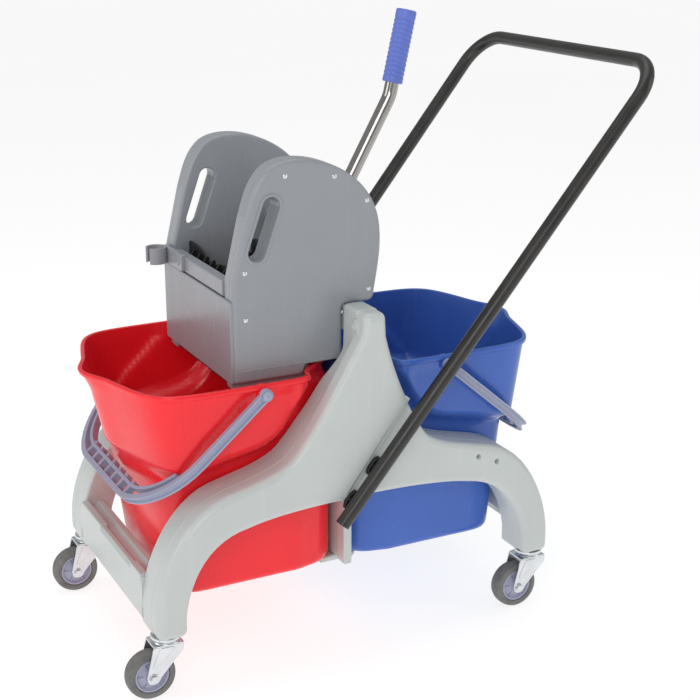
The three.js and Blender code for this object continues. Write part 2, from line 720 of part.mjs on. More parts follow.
// A torsion spring wound loosely round the shaft beside the socket.
function returnSpring(from) {
  const points = [];
  const turns = 3;
  const perTurn = 10;
  for (let i = 0; i <= turns * perTurn; i += 1) {
    const angle = (i / perTurn) * 2 * Math.PI;
    points.push(new THREE.Vector3(
      SHAFT[0] + 12.5 * Math.sin(angle), from + (i / perTurn) * 8, SHAFT[1] + 12.5 * Math.cos(angle),
    ));
  }
  return roundRod(points, 1.8, 6);
}

add('lever_shaft', roundBar(SHAFT, -EAR_IN - 3, EAR_IN + 3, 8, 16), finishes.chrome);
add('lever_socket', socket(), finishes.blackPlastic);
add('lever_tube', leverTube(), finishes.chrome);
add('lever_grip', grip(), finishes.gripPlastic);
add('near_return_spring', returnSpring(-50), finishes.springSteel);
add('far_return_spring', returnSpring(26), finishes.springSteel);

// ---- clip that holds a mop handle upright at the front of the wringer ----
function mopClip() {
  const ring = new THREE.Shape();
  const open = radians(32);
  ring.absarc(0, 0, CLIP_R, Math.PI + open, 3 * Math.PI - open);
  ring.absarc(0, 0, CLIP_R - 4, -Math.PI - open, -3 * Math.PI + open, true);
  const band = new THREE.ExtrudeGeometry(ring, { depth: 26, bevelEnabled: false, curveSegments: 12 });
  band.translate(CLIP_CENTRE[0], CLIP_CENTRE[1], 569);
  const foot = block(FRONT_X - 8, FRONT_X - GAP, 44, CLIP_CENTRE[1] + 8, 569, 595);
  return join(band, foot);
}

add('mop_clip', mopClip(), finishes.wringerPlastic);

// ---- origin: middle of the box, on the floor ----
const LOW_X = -CASTOR_X - CASTOR_TRAIL - WHEEL_R;
const HIGH_X = HANDLE_BAR.x + HANDLE_TUBE_R;
group.position.x = -(LOW_X + HIGH_X) / 2;
group.updateMatrixWorld(true);

export default group;
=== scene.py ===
from math import atan2, cos, pi, radians, sin, tan

import bmesh
import bpy
from mathutils import Matrix, Vector


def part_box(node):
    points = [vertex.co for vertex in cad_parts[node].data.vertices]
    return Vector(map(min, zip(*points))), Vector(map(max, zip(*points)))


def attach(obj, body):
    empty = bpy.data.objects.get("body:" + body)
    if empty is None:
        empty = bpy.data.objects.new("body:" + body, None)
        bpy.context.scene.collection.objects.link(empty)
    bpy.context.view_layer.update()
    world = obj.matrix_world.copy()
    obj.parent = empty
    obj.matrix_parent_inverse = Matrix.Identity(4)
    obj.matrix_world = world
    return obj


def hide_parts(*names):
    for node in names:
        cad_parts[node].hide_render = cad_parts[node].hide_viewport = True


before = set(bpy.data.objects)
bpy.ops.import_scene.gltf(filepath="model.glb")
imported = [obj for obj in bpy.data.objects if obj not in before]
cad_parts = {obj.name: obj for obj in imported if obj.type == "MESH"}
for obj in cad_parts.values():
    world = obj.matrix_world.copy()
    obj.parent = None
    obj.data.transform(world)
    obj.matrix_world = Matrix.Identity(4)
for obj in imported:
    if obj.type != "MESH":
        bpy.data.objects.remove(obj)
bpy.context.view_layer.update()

# ---- camera ----
# A long lens at standing height, looking down on the trolley from its near left corner.
# Its place is measured from the middle of the frame, which is 331 mm in from the outer
# edge of the legs at the red end.
RED_END_TO_MIDDLE = 0.331
frame_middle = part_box("near_side_frame")[0].x + RED_END_TO_MIDDLE

camera_data = bpy.data.cameras.new("camera")
camera_data.sensor_width = 36
camera_data.lens = 73.23
camera = bpy.data.objects.new("camera", camera_data)
camera.location = (frame_middle - 0.90633, -1.95894, 1.130)
camera.rotation_euler = (radians(90 - 17.98), 0, radians(-26.9))
bpy.context.scene.collection.objects.link(camera)
bpy.context.scene.camera = camera

# ---- floor and studio light ----
# A seamless pale studio floor, an even bright room, and four large soft boxes. The boxes
# and the darker gaps between them are also what the chromed and glossy pieces reflect.
def linear(red, green, blue):
    """A display colour of 0 to 255 as the linear colour that a shader takes."""
    parts = [c / 255 for c in (red, green, blue)]
    return tuple(c / 12.92 if c <= 0.04045 else ((c + 0.055) / 1.055) ** 2.4 for c in parts) + (1,)


def new_material(name):
    """A new material, with its node tree and its shader."""
    material = bpy.data.materials.new(name)
    material.use_nodes = True
    return material, material.node_tree, material.node_tree.nodes["Principled BSDF"]


def noise(tree, scale, detail=3, stretch=(1, 1, 1)):
    """A noise pattern in the piece's own metres, drawn out along the axes with a small stretch."""
    place = tree.nodes.new("ShaderNodeTexCoord")
    mapping = tree.nodes.new("ShaderNodeMapping")
    mapping.inputs["Scale"].default_value = stretch
    pattern = tree.nodes.new("ShaderNodeTexNoise")
    pattern.inputs["Scale"].default_value = scale
    pattern.inputs["Detail"].default_value = detail
    tree.links.new(place.outputs["Object"], mapping.inputs["Vector"])
    tree.links.new(mapping.outputs["Vector"], pattern.inputs["Vector"])
    return pattern.outputs["Fac"]


def spread(tree, value, low_value, high_value, low_in=0.3, high_in=0.7):
    """The pattern's middle range, spread between two values."""
    node = tree.nodes.new("ShaderNodeMapRange")
    node.inputs["From Min"].default_value = low_in
    node.inputs["From Max"].default_value = high_in
    node.inputs["To Min"].default_value = low_value
    node.inputs["To Max"].default_value = high_value
    tree.links.new(value, node.inputs["Value"])
    return node.outputs["Result"]


def tint(tree, factor, colour_a, colour_b):
    """Either colour, by the factor."""
    node = tree.nodes.new("ShaderNodeMix")
    node.data_type = "RGBA"
    for socket, colour in ((6, colour_a), (7, colour_b)):
        if isinstance(colour, tuple):
            node.inputs[socket].default_value = colour
        else:
            tree.links.new(colour, node.inputs[socket])
    tree.links.new(factor, node.inputs[0])
    return node.outputs[2]


def relief(tree, shader, height, depth, strength=1.0, under=None):
    """Bumps of a real depth in metres, over any bumps already made."""
    node = tree.nodes.new("ShaderNodeBump")
    node.inputs["Strength"].default_value = strength
    node.inputs["Distance"].default_value = depth
    tree.links.new(height, node.inputs["Height"])
    if under is not None:
        tree.links.new(under, node.inputs["Normal"])
    tree.links.new(node.outputs["Normal"], shader.inputs["Normal"])
    return node.outputs["Normal"]


FLOOR_HALF = 30
floor_mesh = bpy.data.meshes.new("studio_floor")
floor_mesh.from_pydata(
    [(x * FLOOR_HALF, y * FLOOR_HALF, 0) for x, y in ((-1, -1), (1, -1), (1, 1), (-1, 1))],
    [], [(0, 1, 2, 3)])
floor = bpy.data.objects.new("studio_floor", floor_mesh)
bpy.context.scene.collection.objects.link(floor)
floor_paint, tree, shader = new_material("pale_floor")
shade = spread(tree, noise(tree, 0.7), 0, 1)
tree.links.new(tint(tree, shade, linear(168, 168, 168), linear(171, 171, 170)), shader.inputs["Base Color"])
shader.inputs["Roughness"].default_value = 0.75
shader.inputs["Specular IOR Level"].default_value = 0.1
shader.inputs["Emission Color"].default_value = (1, 1, 1, 1)
shader.inputs["Emission Strength"].default_value = 0.76
floor_mesh.materials.append(floor_paint)

bpy.context.scene.view_settings.view_transform = "Standard"
world = bpy.data.worlds.new("bright_room")
world.use_nodes = True
world.node_tree.nodes["Background"].inputs["Color"].default_value = (1, 1, 1, 1)
world.node_tree.nodes["Background"].inputs["Strength"].default_value = 0.42
bpy.context.scene.world = world

for name, place, size, power in (
    ("front_box", (-1.7, -2.6, 1.9), (1.6, 1.3), 25),
    ("left_box", (-3.0, 0.2, 1.5), (1.3, 1.6), 14),
    ("right_box", (2.6, -1.6, 1.6), (0.9, 1.6), 8),
    ("top_box", (0.0, 0.3, 3.1), (2.4, 1.8), 20),
):
    light_data = bpy.data.lights.new(name, "AREA")
    light_data.shape = "RECTANGLE"
    light_data.size, light_data.size_y = size
    light_data.energy = power
    light = bpy.data.objects.new(name, light_data)
    light.location = place
    light.rotation_euler = (Vector((0, 0, 0.4)) - Vector(place)).to_track_quat("-Z", "Y").to_euler()
    bpy.context.scene.collection.objects.link(light)

# ---- side frames ----
# Two polypropylene mouldings that carry everything: an arch on two legs, with a tower
# between the buckets. Their faces are flat and their outer edges generously rounded.
MM = 0.001
TO_ROW = Matrix.Translation((frame_middle, 0, 0)) @ Matrix.Scale(MM, 4)


def trace(start, *steps, fine=12):
    """An outline's points: a step is a point, or two handles and the end of a curve."""
    points = [Vector(start)]
    for step in steps:
        if len(step) == 2:
            points.append(Vector(step))
            continue
        a = points[-1]
        b, c, d = (Vector(p) for p in step)
        for i in range(1, fine + 1):
            t = i / fine
            points.append((1 - t) ** 3 * a + 3 * t * (1 - t) ** 2 * b + 3 * t * t * (1 - t) * c + t ** 3 * d)
    return points


def soften(points, radius, loop=True, arc=4, sharp=25):
    """The same outline with an arc at each corner that turns by more than the sharp angle."""
    points = [Vector(p) for p in points]
    count = len(points)
    result = []
    for i, here in enumerate(points):
        if not loop and i in (0, count - 1):
            result.append(here)
            continue
        back = points[i - 1] - here
        ahead = points[(i + 1) % count] - here
        if back.length < 1e-6 or ahead.length < 1e-6:
            continue
        turn = pi - back.angle(ahead)
        if turn < radians(sharp):
            result.append(here)
            continue
        cut = min(radius * tan(turn / 2), 0.48 * back.length, 0.48 * ahead.length)
        first, last = here + back.normalized() * cut, here + ahead.normalized() * cut
        for k in range(arc + 1):
            t = k / arc
            result.append((1 - t) ** 2 * first + 2 * t * (1 - t) * here + t * t * last)
    return result


def inward(points, amount):
    """The outline moved towards its own inside."""
    count = len(points)
    area = sum(points[i - 1].x * points[i].y - points[i].x * points[i - 1].y for i in range(count))
    side = 1 if area > 0 else -1
    moved = []
    for i, here in enumerate(points):
        a = (here - points[i - 1]).normalized()
        b = (points[(i + 1) % count] - here).normalized()
        across = Vector((-a.y - b.y, a.x + b.x))
        across = across.normalized() if across.length > 1e-9 else Vector((-a.y, a.x))
        lean = max(0.5, across.dot(Vector((-a.y, a.x))))
        moved.append(here + across * (side * amount / lean))
    return moved


def skin(bm, rings, cap=True, close=False):
    """Faces through rings of points. Both ends are capped, or the last ring meets the first."""
    loops = [[bm.verts.new(p) for p in ring] for ring in rings]
    count = len(loops[0])
    pairs = list(zip(loops, loops[1:])) + ([(loops[-1], loops[0])] if close else [])
    for a, b in pairs:
        for i in range(count):
            bm.faces.new((a[i], a[(i + 1) % count], b[(i + 1) % count], b[i]))
    if cap and not close:
        bm.faces.new(loops[0][::-1])
        bm.faces.new(loops[-1])
    return loops


def facing_side(p, y):
    """A point of an outline drawn in x and z, for a plate that faces a side of the trolley."""
    return Vector((p.x, y, p.y))


def facing_end(p, x):
    """A point of an outline drawn in y and z, for a plate that faces an end of the trolley."""
    return Vector((x, p.x, p.y))


def slab(bm, outline, y0, y1, round0=0.0, round1=0.0, holes=(), steps=4, place=facing_side, flare=0.3):
    """A plate from y0 to y1, its edges rounded, with slightly flared holes."""
    levels = []
    for i in range(steps + 1 if round0 else 1):
        t = i / steps * pi / 2
        levels.append((round0 * (1 - sin(t)), y0 + round0 * (1 - cos(t))))
    for i in range(steps + 1 if round1 else 1):
        t = (1 - i / steps) * pi / 2
        levels.append((round1 * (1 - sin(t)), y1 - round1 * (1 - cos(t))))
    first, last = [], []
    for loop, sign in [(outline, 1), *[(hole, -flare) for hole in holes]]:
        rings = [[place(p, y) for p in inward(loop, sign * amount)] for amount, y in levels]
        loops = skin(bm, rings, cap=False)
        first.append(loops[0])
        last.append(loops[-1])
    for ends in (first, last):
        edges = [bm.edges.get((loop[i - 1], loop[i])) for loop in ends for i in range(len(loop))]
        bmesh.ops.triangle_fill(bm, use_beauty=True, edges=edges)


def turned(bm, profile, origin, axis, sides=48):
    """A turned shape: radius and height pairs spun about an axis."""
    spin = Vector((0, 0, 1)).rotation_difference(Vector(axis)).to_matrix()
    rings = []
    for radius, height in profile:
        ring = [Vector((radius * cos(a), radius * sin(a), height))
                for a in (2 * pi * i / sides for i in range(sides))]
        rings.append([spin @ p + Vector(origin) for p in ring])
    closed = (Vector(profile[0]) - Vector(profile[-1])).length < 1e-6
    skin(bm, rings[:-1] if closed else rings, cap=not closed, close=closed)


def settle(name, bm, body, material, replaced=(), crease=32, mirror=False):
    """The finished piece: cleaned, shaded, painted, and riding on its body."""
    bmesh.ops.remove_doubles(bm, verts=bm.verts, dist=0.01)
    bmesh.ops.dissolve_degenerate(bm, edges=bm.edges, dist=0.005)
    if mirror:
        bm.transform(Matrix.Scale(-1, 4, (0, 1, 0)))
    bm.transform(TO_ROW)
    bmesh.ops.recalc_face_normals(bm, faces=bm.faces)
    mesh = bpy.data.meshes.new(name)
    bm.to_mesh(mesh)
    bm.free()
    mesh.shade_smooth()
    mesh.set_sharp_from_angle(angle=radians(crease))
    mesh.materials.append(material)
    piece = bpy.data.objects.new(name, mesh)
    bpy.context.scene.collection.objects.link(piece)
    weight = piece.modifiers.new("even_flats", "WEIGHTED_NORMAL")
    weight.keep_sharp = True
    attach(piece, body)
    if replaced:
        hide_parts(*replaced)
    return piece


def moulded(name, colour, roughness, grain=0.00002, grain_size=900, mottle=0.05, streaks=0.0):
    """Moulded plastic: a fine texture from the mould, faint clouding, and rubbed streaks."""
    material, tree, shader = new_material(name)
    base = linear(*colour)
    dark = tuple(c * (1 - mottle) for c in base[:3]) + (1,)
    light = tuple(min(1, c * (1 + mottle)) for c in base[:3]) + (1,)
    clouds = spread(tree, noise(tree, 9, 4), 0, 1)
    flow = spread(tree, noise(tree, 26, 5, (1, 1, 0.25)), 0, 1)
    body = tint(tree, clouds, dark, light)
    rubbed = tuple(min(1, c * 1.12 + 0.02) for c in base[:3]) + (1,)
    marks = spread(tree, noise(tree, 60, 6, (1, 1, 0.06)), 0, streaks, 0.55, 0.75)
    tree.links.new(tint(tree, marks, body, rubbed), shader.inputs["Base Color"])
    tree.links.new(spread(tree, flow, roughness * 0.88, roughness * 1.16, 0, 1), shader.inputs["Roughness"])
    wave = relief(tree, shader, noise(tree, 14, 2), 0.0006, 0.12)
    relief(tree, shader, noise(tree, grain_size, 2), grain, 0.6, wave)
    return material


frame_plastic = moulded("pale_grey_polypropylene", (198, 204, 202), 0.32, 0.00004, 700, 0.025, 0.25)

FACE_Y, RIB_Y, INNER_Y = 220, 189, 147
LEG_FOOT, FOOT_BEND, LEG_OUTER, LEG_INNER = 97, 126, 331, 284
TOWER_TOP = 545
BLUE_LEG = [
    (LEG_OUTER, LEG_FOOT), (LEG_OUTER, FOOT_BEND),
    ((LEG_OUTER, 190), (288, 284), (220, 302)), ((183, 312), (135, 320), (113, 340)),
]
RED_LEG = [
    ((-135, 320), (-183, 312), (-220, 302)), ((-288, 284), (-LEG_OUTER, 190), (-LEG_OUTER, FOOT_BEND)),
    (-LEG_OUTER, LEG_FOOT), (-LEG_INNER, LEG_FOOT),
]
UNDERSIDE = [
    (-LEG_INNER, FOOT_BEND), ((8 - LEG_INNER, 190), (-243, 238), (-185, 246)),
    ((-140, 258), (-60, 260), (0, 260)), ((60, 260), (140, 258), (185, 246)),
    ((243, 238), (LEG_INNER - 8, 190), (LEG_INNER, FOOT_BEND)), (LEG_INNER, LEG_FOOT),
]


def clipped(points, keep):
    """The part of an outline where keep is above zero, cut off straight."""
    result = []
    for i, here in enumerate(points):
        last = points[i - 1]
        a, b = keep(last), keep(here)
        if (a > 0) != (b > 0):
            result.append(last + (here - last) * (a / (a - b)))
        if b > 0:
            result.append(here)
    return result


outer_outline = trace(
    (LEG_INNER, LEG_FOOT), *BLUE_LEG, ((88, 370), (55, 440), (39, 508)), (37, TOWER_TOP),
    (2, TOWER_TOP), (0, 512), ((-48, 430), (-85, 368), (-113, 340)), *RED_LEG, *UNDERSIDE)[:-1]
inner_outline = trace(
    (LEG_INNER, LEG_FOOT), *BLUE_LEG, ((90, 366), (66, 400), (56, 428)), ((46, 446), (37, 462), (37, 478)),
    (37, TOWER_TOP), (2, TOWER_TOP), (0, 482), ((0, 464), (-28, 446), (-44, 424)),
    ((-62, 398), (-94, 360), (-113, 340)), *RED_LEG, *UNDERSIDE)[:-1]
BLUE_EXTRA, EXTRA_FROM, EXTRA_OVER = 10, 120, 160
RECESS_FOOT, RECESS_SLOPE, RECESS_LAP, RECESS_DEPTH = Vector((-20, 264)), 1.34, 24, 5


def longer_blue_end(p):
    """The blue half of an arch is drawn out by 10 mm beyond the tower."""
    return Vector((p.x + BLUE_EXTRA * min(max((p.x - EXTRA_FROM) / EXTRA_OVER, 0), 1), p.y))


def left_of_handle(p):
    """Above zero on the red side of the step that runs beside the push handle."""
    return (p.y - RECESS_FOOT.y) - RECESS_SLOPE * (p.x - RECESS_FOOT.x)


def round_hole(x, z, radius, sides=20):
    """The edge of a round hole in an outline."""
    return [Vector((x + radius * cos(a), z + radius * sin(a)))
            for a in (2 * pi * i / sides for i in range(sides))]


for side, mirror in (("near", True), ("far", False)):
    bm = bmesh.new()
    face_outline = [longer_blue_end(p) for p in outer_outline]
    raised = soften(clipped(face_outline, left_of_handle), 13, arc=6)
    level = soften(clipped(face_outline, lambda p: RECESS_LAP - left_of_handle(p)), 13, arc=6)
    slab(bm, soften([longer_blue_end(p) for p in inner_outline], 8), INNER_Y, RIB_Y + 2, 4, 3)
    slab(bm, raised, RIB_Y, FACE_Y, 3, 12, steps=6)
    screw_holes = [round_hole(204, 287, 2.6), round_hole(238, 273, 2.6)]
    slab(bm, level, RIB_Y, FACE_Y - RECESS_DEPTH, 3, 10, screw_holes, steps=6)
    slab(bm, soften(((6, 500), (26, 500), (26, 540), (6, 540)), 3), 130, INNER_Y + 10, 2)
    pad = [Vector((190 + 10 * cos(a), 514 + 10 * sin(a) + (8 if sin(a) > 0 else -8)))
           for a in (2 * pi * (i + 0.5) / 28 for i in range(28))]
    slab(bm, pad, -1.6, 4, 1.2, 0, place=facing_end)
    turned(bm, [(6.4, 0), (6.4, 1.6), (5.4, 2.6), (4.0, 2.6), (3.6, 1.4), (0, 1.4)],
           (-1.2, 190, 521), (-1, 0, 0), 32)
    turned(bm, [(2.2, 0), (2.2, 0.8), (1.6, 1.3), (0, 1.3)], (-1.4, 190, 503), (-1, 0, 0), 16)
    settle(f"{side}_arch_moulding", bm, "frame", frame_plastic,
           [f"{side}_side_frame"], mirror=mirror)

# ---- end crossbars ----
# A moulded channel between the legs at each end, in the same grey plastic. It snaps into
# the legs, and its top has a lip, a drain groove and an inner ledge beside the bucket.
for end, turn_round in (("red", False), ("blue", True)):
    bm = bmesh.new()
    section = soften((
        (-331, 106), (-327, 106), (-327, 150), (-321, 164), (-301, 164), (-301, 138), (-297, 138),
        (-293, 142), (-293, 172), (-303, 172), (-306, 167), (-318, 167), (-320, 172), (-327, 172),
        (-331, 166),
    ), 2.2)
    skin(bm, [[Vector((p.x, y, p.y)) for p in section] for y in (-153, -96, 44, 153)])
    for y0, y1 in ((-146.7, -100), (46, 146.7)):
        lip = soften(((-330.8, 120), (-326, 120), (-318, 168), (-318, 176), (-330.8, 176)), 2.5)
        slab(bm, lip, y0, y1, 1.5, 1.5)
    for y in range(-120, 121, 48):
        web = soften(((-328, 108), (-298, 142), (-298, 165), (-328, 165)), 2)
        slab(bm, web, y - 1.5, y + 1.5, 0.5, 0.5, steps=2)
    if turn_round:
        bm.transform(Matrix.Translation((BLUE_EXTRA, 0, 0)) @ Matrix.Rotation(pi, 4, "Z"))
    settle(f"{end}_crossbar_moulding", bm, "frame", frame_plastic, [f"{end}_end_crossbar"])

# ---- centre bulkhead ----
# The upright wall between the two buckets, with a post at each side and a ledge under
# the end of both buckets. It ties the two side frames together at mid length.
bm = bmesh.new()
web = soften(((-5, 118), (5, 118), (5, 300), (-5, 300)), 3)
slab(bm, web, -140, 140, 1)
for sign in (-1, 1):
    post = soften(((-7, 118), (7, 118), (7, 330), (-7, 330)), 3)
    slab(bm, post, *sorted((sign * 126, sign * 149)), 1.5, 1.5)
shelf = soften(((-32, 112), (-28, 108), (28, 108), (32, 112), (32, 117.7), (-32, 117.7)), 1.5)
slab(bm, shelf, -110, 110, 2, 2)
for y in (-90, -45, 0, 45, 90):
    for sign in (-1, 1):
        gusset = soften(((sign * 7, 112), (sign * 30, 112), (sign * 7, 117)), 1)
        slab(bm, gusset, y - 2, y + 2, 0.5, 0.5, steps=2)
BULKHEAD_X = 8
bm.transform(Matrix.Translation((BULKHEAD_X, 0, 0)))
settle("bulkhead_moulding", bm, "frame", frame_plastic, ["centre_bulkhead"])

# ---- castors ----
# Four 75 mm swivel castors: a zinc-plated ball race under the leg, a pressed fork with
# tapered ears, an axle with nuts, a moulded hub and a grey non-marking tyre.
def plated(name, colour, roughness, cloud=0.06, brush=(1, 1, 1), grain=1400):
    """Plated or polished metal, with faint clouding and the fine lines of its finishing."""
    material, tree, shader = new_material(name)
    base = linear(*colour)
    dull = tuple(c * (1 - 2 * cloud) for c in base[:3]) + (1,)
    patches = spread(tree, noise(tree, 45, 4), 0, 1)
    lines = spread(tree, noise(tree, grain, 3, brush), 0, 1)
    tree.links.new(tint(tree, patches, dull, base), shader.inputs["Base Color"])
    shader.inputs["Metallic"].default_value = 1.0
    tree.links.new(spread(tree, lines, roughness * 0.8, roughness * 1.3, 0, 1), shader.inputs["Roughness"])
    relief(tree, shader, lines, 0.00002, 0.35)
    return material


zinc = plated("bright_zinc_plate", (226, 229, 232), 0.27)
hub_plastic = moulded("lilac_grey_hub_plastic", (168, 169, 191), 0.45, 0.00003, 900, 0.04, 0.15)

tyre_rubber, tree, shader = new_material("grey_tyre_rubber")
dust = spread(tree, noise(tree, 70, 5), 0, 1)
tree.links.new(tint(tree, dust, linear(104, 104, 103), linear(126, 125, 123)), shader.inputs["Base Color"])
tree.links.new(spread(tree, dust, 0.62, 0.82, 0, 1), shader.inputs["Roughness"])
scuffed = relief(tree, shader, noise(tree, 260, 4), 0.00025, 0.5)
relief(tree, shader, noise(tree, 1800, 2), 0.00005, 0.6, scuffed)

CASTOR_X, CASTOR_Y, TRAIL, WHEEL_R = 310, 190, 27, 37.5
for side, y_sign in (("near", -1), ("far", 1)):
    for end, x in (("red", -CASTOR_X), ("blue", CASTOR_X + BLUE_EXTRA)):
        name = f"{side}_{end}_castor"
        y = y_sign * CASTOR_Y
        wheel_x = x - TRAIL
        bm = bmesh.new()
        turned(bm, [(0, 97), (22.5, 97), (23, 96), (23, 93.5), (22, 92), (0, 91.2)], (x, y, 0), (0, 0, 1), 40)
        settle(f"{name}_race", bm, "frame", zinc, [f"{name}_plate"])

        bm = bmesh.new()
        turned(bm, [(0, 91), (17, 91), (19.5, 90), (21, 88), (21, 87), (0, 86)], (x, y, 0), (0, 0, 1), 40)
        ear = soften((
            (x + 21, 88), (x - 25, 88), (wheel_x - 10, WHEEL_R + 3), (wheel_x - 8, WHEEL_R - 9),
            (wheel_x + 6, WHEEL_R - 10), (wheel_x + 12, WHEEL_R), (x + 21, 76),
        ), 9, arc=6)
        for sign in (-1, 1):
            slab(bm, ear, *sorted((y + sign * 16.0, y + sign * 18.6)), 0.8, 0.8, steps=3)
            bead = soften((
                (x + 12, 84), (x - 16, 84), (wheel_x - 2, WHEEL_R + 16), (wheel_x + 4, WHEEL_R + 16)), 5)
            slab(bm, bead, *sorted((y + sign * 18.2, y + sign * 19.4)), 0.9, 0.9, steps=3)
        crown = soften(((-18.6, 84), (18.6, 84), (18.6, 87.5), (-18.6, 87.5)), 1.6)
        slab(bm, crown, x - 25, x + 21, 0.8, 0.8, place=lambda p, along, y=y: Vector((along, y + p.x, p.y)))
        settle(f"{name}_pressed_fork", bm, f"{name}_fork", zinc, [f"{name}_fork"])

        bm = bmesh.new()
        turned(bm, [(0, -22.5), (2.6, -22.5), (3.4, -21.6), (3.4, 21.6), (2.6, 22.5), (0, 22.5)],
               (wheel_x, y, WHEEL_R), (0, 1, 0), 24)
        for sign in (-1, 1):
            turned(bm, [(0, 18.8), (7.6, 18.8), (7.6, 19.6), (0, 19.6)],
                   (wheel_x, y, WHEEL_R), (0, sign, 0), 28)
            turned(bm, [(0, 19.6), (6, 19.6), (6.2, 20.1), (6.2, 22.0), (5.6, 22.6), (0, 22.6)],
                   (wheel_x, y, WHEEL_R), (0, sign, 0), 6)
        settle(f"{name}_axle_and_nuts", bm, f"{name}_fork", zinc, [f"{name}_axle"])

        bm = bmesh.new()
        half = [(4.5, 15), (8.4, 15), (9.4, 14), (10, 9.5), (13, 7.2), (20.5, 6.4), (22.4, 8.6),
                (23.2, 10.6), (25.2, 10.8), (26.4, 9.6), (26.6, 7)]
        section = [*half, *((r, -h) for r, h in reversed(half)), half[0]]
        turned(bm, section, (wheel_x, y, WHEEL_R), (0, 1, 0), 56)
        for k in range(6):
            a = 2 * pi * k / 6
            for sign in (-1, 1):
                spoke = [Vector((wheel_x + r * cos(a) + w * sin(a), WHEEL_R + r * sin(a) - w * cos(a)))
                         for r, w in ((9.5, -1.1), (21.5, -1.1), (21.5, 1.1), (9.5, 1.1))]
                slab(bm, spoke, *sorted((y + sign * 5.5, y + sign * 8.6)), 0.4, 0.4, steps=2)
        settle(f"{name}_moulded_hub", bm, f"{name}_wheel", hub_plastic, [f"{name}_hub"])

        bm = bmesh.new()
        tread = soften((
            (26.7, -11.6), (31, -12.5), (35.4, -11.2), (36.7, -7.4), (37.4, -4), (37.4, 4), (36.7, 7.4),
            (35.4, 11.2), (31, 12.5), (26.7, 11.6)), 1.6, sharp=8)
        turned(bm, [(p.x, p.y) for p in [*tread, tread[0]]], (wheel_x, y, WHEEL_R), (0, 1, 0), 72)
        settle(f"{name}_moulded_tyre", bm, f"{name}_wheel", tyre_rubber, [f"{name}_tyre"])

# ---- push handle ----
# One 22 mm steel tube bent into a U and powder coated in satin black. Its legs spread a
# little towards the cross bar, and their lower ends are left open.
black_coat, tree, shader = new_material("black_powder_coat")
worn = spread(tree, noise(tree, 30, 5), 0, 1)
tree.links.new(tint(tree, worn, linear(30, 28, 27), linear(42, 40, 38)), shader.inputs["Base Color"])
tree.links.new(spread(tree, worn, 0.30, 0.44, 0, 1), shader.inputs["Roughness"])
shader.inputs["Coat Weight"].default_value = 0.15
shader.inputs["Coat Roughness"].default_value = 0.3
peel = relief(tree, shader, noise(tree, 320, 2), 0.00012, 0.5)
relief(tree, shader, noise(tree, 2200, 1), 0.00003, 0.5, peel)

TUBE_R, TUBE_WALL = 11, 1.5


def bent(start, corner, end, radius, steps=14):
    """The points of the arc that rounds a corner."""
    back, ahead = (start - corner).normalized(), (end - corner).normalized()
    half = back.angle(ahead) / 2
    centre = corner + (back + ahead).normalized() * (radius / sin(half))
    first = corner + back * (radius / tan(half)) - centre
    axis = back.cross(ahead).normalized()
    return [Matrix.Rotation(-(pi - 2 * half) * i / steps, 3, axis) @ first + centre for i in range(steps + 1)]


def swept(bm, path, section, across, cap=True):
    """A section carried along a path that lies flat against a given direction."""
    rings = []
    for i, here in enumerate(path):
        along = (path[min(i + 1, len(path) - 1)] - path[max(i - 1, 0)]).normalized()
        side = along.cross(across).normalized()
        up = side.cross(along)
        rings.append([here + side * a + up * b for a, b in section])
    return skin(bm, rings, cap=cap)


def circle(radius, sides=28):
    """The edge of a round section."""
    return [(radius * cos(a), radius * sin(a)) for a in (2 * pi * i / sides for i in range(sides))]


def open_tube(bm, path, radius, wall, across):
    """A tube with its bore, its cut ends joined by flat rings."""
    outer = swept(bm, path, circle(radius), across, cap=False)
    inner = swept(bm, path, circle(radius - wall), across, cap=False)
    for a, b in ((outer[0], inner[0]), (outer[-1], inner[-1])):
        for i in range(len(a)):
            bm.faces.new((a[i - 1], a[i], b[i], b[i - 1]))


handle_foot, handle_corner = Vector((-45, 236, 232)), Vector((482, 250, 880))
flip_y = Vector((1, -1, 1))
handle_path = [handle_foot * flip_y,
               *bent(handle_foot * flip_y, handle_corner * flip_y, handle_corner, 60),
               *bent(handle_corner * flip_y, handle_corner, handle_foot, 60), handle_foot]
bm = bmesh.new()
leg_run = handle_corner - handle_foot
open_tube(bm, handle_path, TUBE_R, TUBE_WALL, Vector((-leg_run.z, 0, leg_run.x)).normalized())
settle("bent_push_handle", bm, "frame", black_coat, ["push_handle"])

# ---- handle saddles ----
# Small black plastic blocks between each leg of the handle and the side frame, each with
# a screw through it. Only their rounded edges show beside the tube.
black_plastic = moulded("black_plastic", (28, 28, 30), 0.45, 0.00004, 800, 0.15, 0.3)
slope = atan2(leg_run.z, leg_run.x)
for side, y_sign in (("near", -1), ("far", 1)):
    for level_name, part_way in (("upper", 0.118), ("lower", 0.045)):
        middle = handle_foot.lerp(handle_corner, part_way)
        outer = middle.y - TUBE_R + 3
        corners = ((-16, -9), (16, -9), (16, 6), (6, 10.5), (-6, 10.5), (-16, 6))
        block = soften([Vector((middle.x + a * cos(slope) - b * sin(slope),
                                middle.z + a * sin(slope) + b * cos(slope))) for a, b in corners], 4)
        bm = bmesh.new()
        slab(bm, block, *sorted((y_sign * (FACE_Y - 2), y_sign * (outer - 3.5))), 1.2, 1.2)
        head = middle + Vector((-6 * sin(slope), 0, 6 * cos(slope)))
        turned(bm, [(0, 0), (3.4, 0), (3.2, 1.4), (1.8, 2.0), (1.8, 1.0), (0, 1.0)],
               (head.x, y_sign * (outer - 3.5), head.z), (0, y_sign, 0), 20)
        settle(f"{side}_{level_name}_saddle_block", bm, "frame", black_plastic,
               [f"{side}_{level_name}_handle_saddle"])

